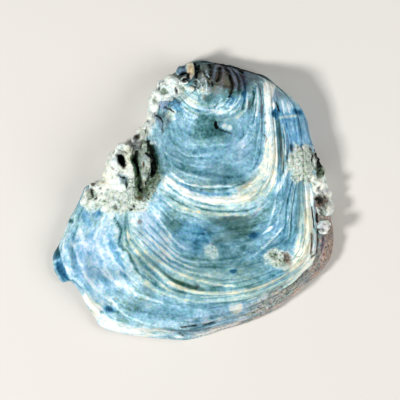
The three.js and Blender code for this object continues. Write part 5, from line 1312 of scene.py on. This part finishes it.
def add_node(tree, kind, inputs, output=0, **settings):
    """Adds a node with its settings, gives its inputs values or links, and returns one of its outputs."""
    node = tree.nodes.new("ShaderNode" + kind)
    for name, value in settings.items():
        setattr(node, name, value)
    for name, value in inputs.items():
        if isinstance(value, bpy.types.NodeSocket):
            tree.links.new(value, node.inputs[name])
        else:
            node.inputs[name].default_value = value
    return node.outputs[output]


def maths(tree, operation, *terms, clamp=False):
    return add_node(tree, "Math", dict(enumerate(terms)), operation=operation, use_clamp=clamp)


def mix(tree, blend, share, below, above):
    inputs = {MIX_SHARE: share, MIX_BELOW: below, MIX_ABOVE: above}
    return add_node(tree, "Mix", inputs, MIX_RESULT, data_type="RGBA", blend_type=blend)


def noise(tree, place, kind, output="Fac"):
    """Noise of one of the kinds named above: lumps to a millimetre, detail and roughness."""
    per_mm, detail, roughness = kind
    inputs = {"Vector": place, "Scale": per_mm / MM, "Detail": detail, "Roughness": roughness}
    return add_node(tree, "TexNoise", inputs, output)


def streaks(tree, growth, side, other_side, kind):
    """Noise drawn out along the growth lines, of one of the kinds named above."""
    across, along, detail, roughness = kind
    place = {
        "X": maths(tree, "MULTIPLY", growth, across),
        "Y": maths(tree, "MULTIPLY", side, along),
        "Z": maths(tree, "MULTIPLY", other_side, along),
    }
    vector = add_node(tree, "CombineXYZ", place)
    inputs = {"Vector": vector, "Scale": 1.0, "Detail": detail, "Roughness": roughness}
    return add_node(tree, "TexNoise", inputs, "Fac")


def ramp(tree, source, stops):
    """A colour ramp over a source, with stops of place and hex or linear colour."""
    output = add_node(tree, "ValToRGB", {"Fac": source}, "Color")
    elements = output.node.color_ramp.elements
    while len(elements) < len(stops):
        elements.new(0.5)
    for element, (place, colour) in zip(elements, stops):
        element.position = place
        element.color = linear(colour) if isinstance(colour, str) else colour
    return output


def layered_material(name, colours, streaking, roughness):
    """Mineralised shell or cemented sand: tones, stains and painted shade laid on the piece, broken up by
    noise.

    Streaks run along the growth lines, and the mottling and the grain have no direction.
    """
    material = bpy.data.materials.new(name)
    material.use_nodes = True
    tree = material.node_tree
    painted = {layer: add_node(tree, "Attribute", {}, "Fac", attribute_name=layer)
               for layer in (*LAYERS, *PLACE_LAYERS)}
    place = add_node(tree, "TexCoord", {}, "Object")
    mottle, speck, sand_speck, grit = (noise(tree, place, kind) for kind in (MOTTLE, SPECK, SAND_SPECK, GRIT))

    # the growth lines waver a little with the mottling, and fine, broad and warm streaks follow them
    growth = maths(tree, "MULTIPLY_ADD", mottle, STREAK_WAVER, painted["growth"])
    east, north = painted["ray_east"], painted["ray_north"]
    fine = streaks(tree, growth, east, north, FINE_STREAKS)
    broad = streaks(tree, growth, east, north, BROAD_STREAKS)
    warm = streaks(tree, growth, north, east, WARM_STREAKS)
    lined = maths(tree, "MULTIPLY", painted["lined"], STREAK_STRENGTH * streaking)
    lines = maths(tree, "MULTIPLY_ADD", broad, BROAD_SHARE, fine)
    lines = maths(tree, "SUBTRACT", lines, (1 + BROAD_SHARE) / 2)
    lines = maths(tree, "MULTIPLY", maths(tree, "MULTIPLY", lines, STREAK_TONE), lined)

    # tone: what is painted, with mottling, specks and streaks
    mottled = maths(tree, "MULTIPLY_ADD", mottle, MOTTLE_TONE, -MOTTLE_TONE / 2)
    specked = maths(tree, "MULTIPLY_ADD", speck, SPECK_TONE, -SPECK_TONE / 2)
    tone = maths(tree, "ADD", mottled, specked)
    tone = maths(tree, "ADD", maths(tree, "ADD", tone, lines), painted["tone"], clamp=True)
    shell_tones = ((0.0, colours.darkest), (0.22, "#44757A"), (0.5, colours.middle), (0.75, "#B2D6E2"),
                   (1.0, colours.palest))
    colour = ramp(tree, tone, shell_tones)
    ramps = {
        "azure": ramp(tree, tone, AZURE_TONES),
        "sand": ramp(tree, maths(tree, "MULTIPLY_ADD", grit, SAND_SLOPE, SAND_OFFSET), SAND_TONES),
    }
    for line_colour, slope, offset in WARM_COLOURS:
        share = maths(tree, "MULTIPLY", maths(tree, "MULTIPLY_ADD", warm, slope, offset, clamp=True), lined)
        colour = mix(tree, "MULTIPLY", share, colour, linear(line_colour))
    # stains and painted shade gather in the specks, so their edges break up
    for layer, (blend, stain, slope, offset) in STAINS.items():
        source = sand_speck if layer == "speckle" else speck
        broken = maths(tree, "MULTIPLY_ADD", source, slope, offset, clamp=layer == "speckle")
        share = maths(tree, "MULTIPLY", painted[layer], broken, clamp=True)
        colour = mix(tree, blend, share, colour, ramps[layer] if layer in ramps else linear(stain))
    colour = mix(tree, "OVERLAY", FLECK_SHARE, colour, noise(tree, place, FLECK, "Color"))
    height = maths(tree, "MULTIPLY_ADD", fine, BUMP_LINES, speck)
    bump = add_node(
        tree, "Bump", {"Strength": BUMP_STRENGTH, "Distance": BUMP_DEPTH * MM, "Height": height})
    shader = tree.nodes["Principled BSDF"]
    shader.inputs["Roughness"].default_value = roughness
    shader.inputs["IOR"].default_value = CALCITE_IOR
    shader.inputs["Specular IOR Level"].default_value = DUSTY_SHINE
    tree.links.new(colour, shader.inputs["Base Color"])
    tree.links.new(bump, shader.inputs["Normal"])
    return material


def paint_valve(valve, sizes):
    """Paints the valve's layers and returns the fine relief, in millimetres, that goes with them."""
    stage, ray = growth_place(valve.data)
    points = get_points(valve.data)
    normals = read_vectors(valve.data, "normal")
    stations = station_points(ray)
    wall = steepness(stations) * (1 - fade(*WALL_LEVELS, normals[:, 2]))
    flat = 1 - wall * fade(STAGE_UMBO, STAGE_UMBO + WALL_START, stage)
    # Patterns seen from above would run down the steep walls as streaks, so they are unrolled there.
    plan = points[:, :2] - normals[:, :2] * points[:, 2:] * (1 - flat)[:, None]
    angle = ray / RAYS * 2 * math.pi
    circle = WAVER_ALONG * np.column_stack([np.sin(angle), np.cos(angle)])
    wobble = grains(np.column_stack([stage * WAVER_ACROSS, circle]), WAVER_GRAINS, 3)
    values = lay_ground(plan, VALVE_GROUND)
    for layers, strength, stages, rays in BANDS:
        paint(values, layers, strength * band_mask(stage, ray, wobble, stages, rays))
    outer = 1 - fade(*OUTER_END, stage)
    broken = 1 + grains(plan, [FINE_BREAKS], 17)
    room = fade(0, CROWDED_REACH, gap(stations[0], stations[5]))
    lines = random_lines(stage, ray, sizes.line_count) * broken
    values["tone"] += FINE_CONTRAST * lines * outer * at_least(PLAIN_CONTRAST, values["lined"])
    relief = lines / FINE_LIMIT * sizes.line_depth / MM * at_least(PLAIN_RELIEF, values["lined"])
    relief += paint_rows(
        values, LINES, lambda *place: line_mask(stage, ray, wobble, *place) * np.clip(broken, 0, 1))
    relief *= room
    on_top = (stage < TOP_END) * flat
    before = {layer: values[layer].copy() for layer in LAYERS}
    relief += paint_spots(values, points, SPOTS) * on_top
    relief += paint_strokes(values, points, STROKES) * on_top
    for layer in LAYERS:
        values[layer] = before[layer] + (values[layer] - before[layer]) * on_top
    grit = values["speckle"] * grains(points, GRIT_GRAINS, 24)
    values["tone"] += GRIT_CONTRAST * grit
    relief += grit + values["sand"] * grains(points, SAND_GRAINS, 20)
    under = fade(*UNDER_START, stage)
    paint(values, {"clear": 0, "tone": 0.96, "cream": 0.35, "lined": 0.45}, under)
    paint(values, {"tone": 0.72, "lavender": 0.6}, in_scar(points) * under)
    paint(values, {"cream": 0.9, "umber": 0.25}, np.clip(3 * in_ligament_pit(points), 0, 1) * under)
    for layer in LAYERS:
        write_attribute(valve.data, layer, np.clip(values[layer], 0, 1))
    return relief * outer * at_least(WALL_RELIEF, flat)


def make_valve(sizes):
    valve = make_cage()
    modify(valve, "SUBSURF", subdivision_type="SIMPLE", levels=SUBDIVISIONS, render_levels=SUBDIVISIONS)
    stage, ray = growth_place(valve.data)
    set_points(valve.data, shell_points(stage, ray))
    bpy.ops.object.mode_set(mode="EDIT")
    bpy.ops.mesh.select_all(action="SELECT")
    bpy.ops.mesh.normals_make_consistent(inside=False)
    bpy.ops.object.mode_set(mode="OBJECT")
    carve(valve, paint_valve(valve, sizes))
    bpy.ops.object.shade_smooth()
    return valve


def make_lump(middle, radii, top):
    """A dome on a foot that reaches down to the rim, or to just above the roof of the hollow."""
    place = (middle[0] * MM, middle[1] * MM, 0)
    bpy.ops.mesh.primitive_ico_sphere_add(subdivisions=LUMP_SUBDIVISIONS, radius=MM, location=place)
    lump = bpy.context.object
    ball = get_points(lump.data)
    waist = top - CRUST_DOME
    height = waist + ball[:, 2] * np.where(ball[:, 2] > 0, CRUST_DOME, waist - CRUST_FOOT)
    roof = hollow_height(ball[:, :2] * radii + middle)
    height = np.maximum(height, np.minimum(roof + CRUST_COVER, 3 * roof + CRUST_FOOT))
    set_points(lump.data, np.column_stack([ball[:, :2] * radii, height]))
    return lump


def make_crust(name, lumps, sizes):
    """Lumps joined into one rough crust, with its pits carved and painted shade in its hollows."""
    deselect()
    for part in [make_lump(*lump) for lump in lumps]:
        part.select_set(True)
    bpy.ops.object.transform_apply(location=True, rotation=True, scale=True)
    bpy.ops.object.join()
    crust = bpy.context.object
    crust.name = crust.data.name = name
    points = get_points(crust.data)
    warp = np.column_stack([grain(points, CRUST_WARP[0], 40 + axis) for axis in range(3)])
    set_points(crust.data, points + CRUST_WARP[1] * warp * fade(*CRUST_CALM, points[:, 2])[:, None])
    modify(crust, "REMESH", mode="VOXEL", voxel_size=sizes.crust_voxel)
    modify(crust, "SMOOTH", iterations=CRUST_SMOOTHING)
    points = get_points(crust.data)
    relief = grains(points, CRUST_GRAINS, 30) * fade(*CRUST_CALM, points[:, 2])
    most = sum(depth for _, depth in CRUST_GRAINS)
    # painted shade: the deeper the hollow of the grain, the darker
    hollow = np.clip(-relief / most - HOLLOW_SHADE[0], 0, 1) * HOLLOW_SHADE[1]
    carve(crust, relief)
    points = get_points(crust.data)
    values = lay_ground(points, CRUST_GROUND)
    values["void"] = np.clip(hollow, 0, DARKEST_HOLLOW)
    sink = paint_strokes(values, points, STROKES)
    sink = np.minimum(0, sink + paint_spots(values, points, CRUST_SPOTS))
    carve(crust, np.maximum(sink, CRUST_CALM[0] - points[:, 2]) * (sink < 0), "Z")
    for layer in LAYERS:
        write_attribute(crust.data, layer, np.clip(values[layer], 0, 1))
    for layer, (axis, scale) in zip(PLACE_LAYERS, CRUST_PLACES):
        write_attribute(crust.data, layer, points[:, axis] * scale)
    bpy.ops.object.shade_smooth()
    return crust


class SHELL_OT_make_valve(bpy.types.Operator):
    """Model the valve from its growth lines"""

    bl_idname = "shell.make_valve"
    bl_label = "Make the valve"

    def execute(self, context):
        valve = make_valve(context.scene.shell_sizes)
        # blue-grey calcite with a dull waxy sheen, banded along its growth lines
        colours = context.scene.shell_colours
        material = layered_material("fossil_calcite", colours, streaking=0.55, roughness=0.5)
        valve.data.materials.append(material)
        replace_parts(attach(valve, "root"), "oyster_valve")
        return {"FINISHED"}


class SHELL_OT_make_crusts(bpy.types.Operator):
    """Model the crusts of cemented sand"""

    bl_idname = "shell.make_crusts"
    bl_label = "Make the crusts"

    def execute(self, context):
        # pale gritty sandstone, dull, with painted shade in its hollows
        colours = context.scene.shell_colours
        material = layered_material("cemented_sand", colours, streaking=0.1, roughness=0.8)
        for name, lumps in CRUSTS.items():
            crust = make_crust(name, lumps, context.scene.shell_sizes)
            crust.data.materials.append(material)
            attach(crust, "root")
        return {"FINISHED"}


class SHELL_OT_make_stage(bpy.types.Operator):
    """Set the floor, the lights and the camera"""

    bl_idname = "shell.make_stage"
    bl_label = "Make the stage"

    def execute(self, context):
        deselect()
        bpy.ops.mesh.primitive_plane_add(size=FLOOR_WIDTH)
        floor = context.object
        floor.name = "floor"
        # matt off-white card
        material = bpy.data.materials.new("pale_floor")
        material.use_nodes = True
        shader = material.node_tree.nodes["Principled BSDF"]
        shader.inputs["Base Color"].default_value = linear(FLOOR_COLOUR)
        shader.inputs["Roughness"].default_value = FLOOR_ROUGHNESS
        floor.data.materials.append(material)
        bpy.ops.object.camera_add(location=CAMERA_PLACE, rotation=(0, 0, 0))
        camera = context.object
        camera.data.lens = CAMERA_LENS
        camera.data.clip_end = CAMERA_REACH
        context.scene.camera = camera
        for name, place, width, watts in LAMPS:
            bpy.ops.object.light_add(type="AREA", location=place)
            light = context.object
            light.name = name
            light.data.size = width
            light.data.energy = watts
            light.rotation_mode = "QUATERNION"
            light.rotation_quaternion = (-light.location).to_track_quat("-Z", "Y")
        world = bpy.data.worlds.new("studio")
        world.use_nodes = True
        sky = world.node_tree.nodes["Background"]
        sky.inputs["Color"].default_value = linear(SKY_COLOUR)
        sky.inputs["Strength"].default_value = SKY_STRENGTH
        context.scene.world = world
        context.scene.view_settings.view_transform = "Standard"
        return {"FINISHED"}


class SHELL_PT_panel(bpy.types.Panel):
    """Lists the shell's sizes, colours and pieces"""

    bl_idname = "SHELL_PT_panel"
    bl_label = "Fossil oyster shell"
    bl_space_type = "VIEW_3D"
    bl_region_type = "UI"
    bl_category = "Shell"

    def draw(self, context):
        for group in (context.scene.shell_sizes, context.scene.shell_colours):
            for name in group.__annotations__:
                self.layout.prop(group, name)
        for operator in OPERATORS:
            self.layout.operator(operator.bl_idname)


OPERATORS = (SHELL_OT_make_valve, SHELL_OT_make_crusts, SHELL_OT_make_stage)
CLASSES = (ShellSizes, ShellColours, *OPERATORS, SHELL_PT_panel)


def register():
    for cls in CLASSES:
        bpy.utils.register_class(cls)
    bpy.types.Scene.shell_sizes = PointerProperty(type=ShellSizes)
    bpy.types.Scene.shell_colours = PointerProperty(type=ShellColours)


def unregister():
    del bpy.types.Scene.shell_colours
    del bpy.types.Scene.shell_sizes
    for cls in reversed(CLASSES):
        bpy.utils.unregister_class(cls)


def main():
    register()
    bpy.ops.shell.make_valve()
    bpy.ops.shell.make_crusts()
    bpy.ops.shell.make_stage()


if __name__ == "__main__":
    main()
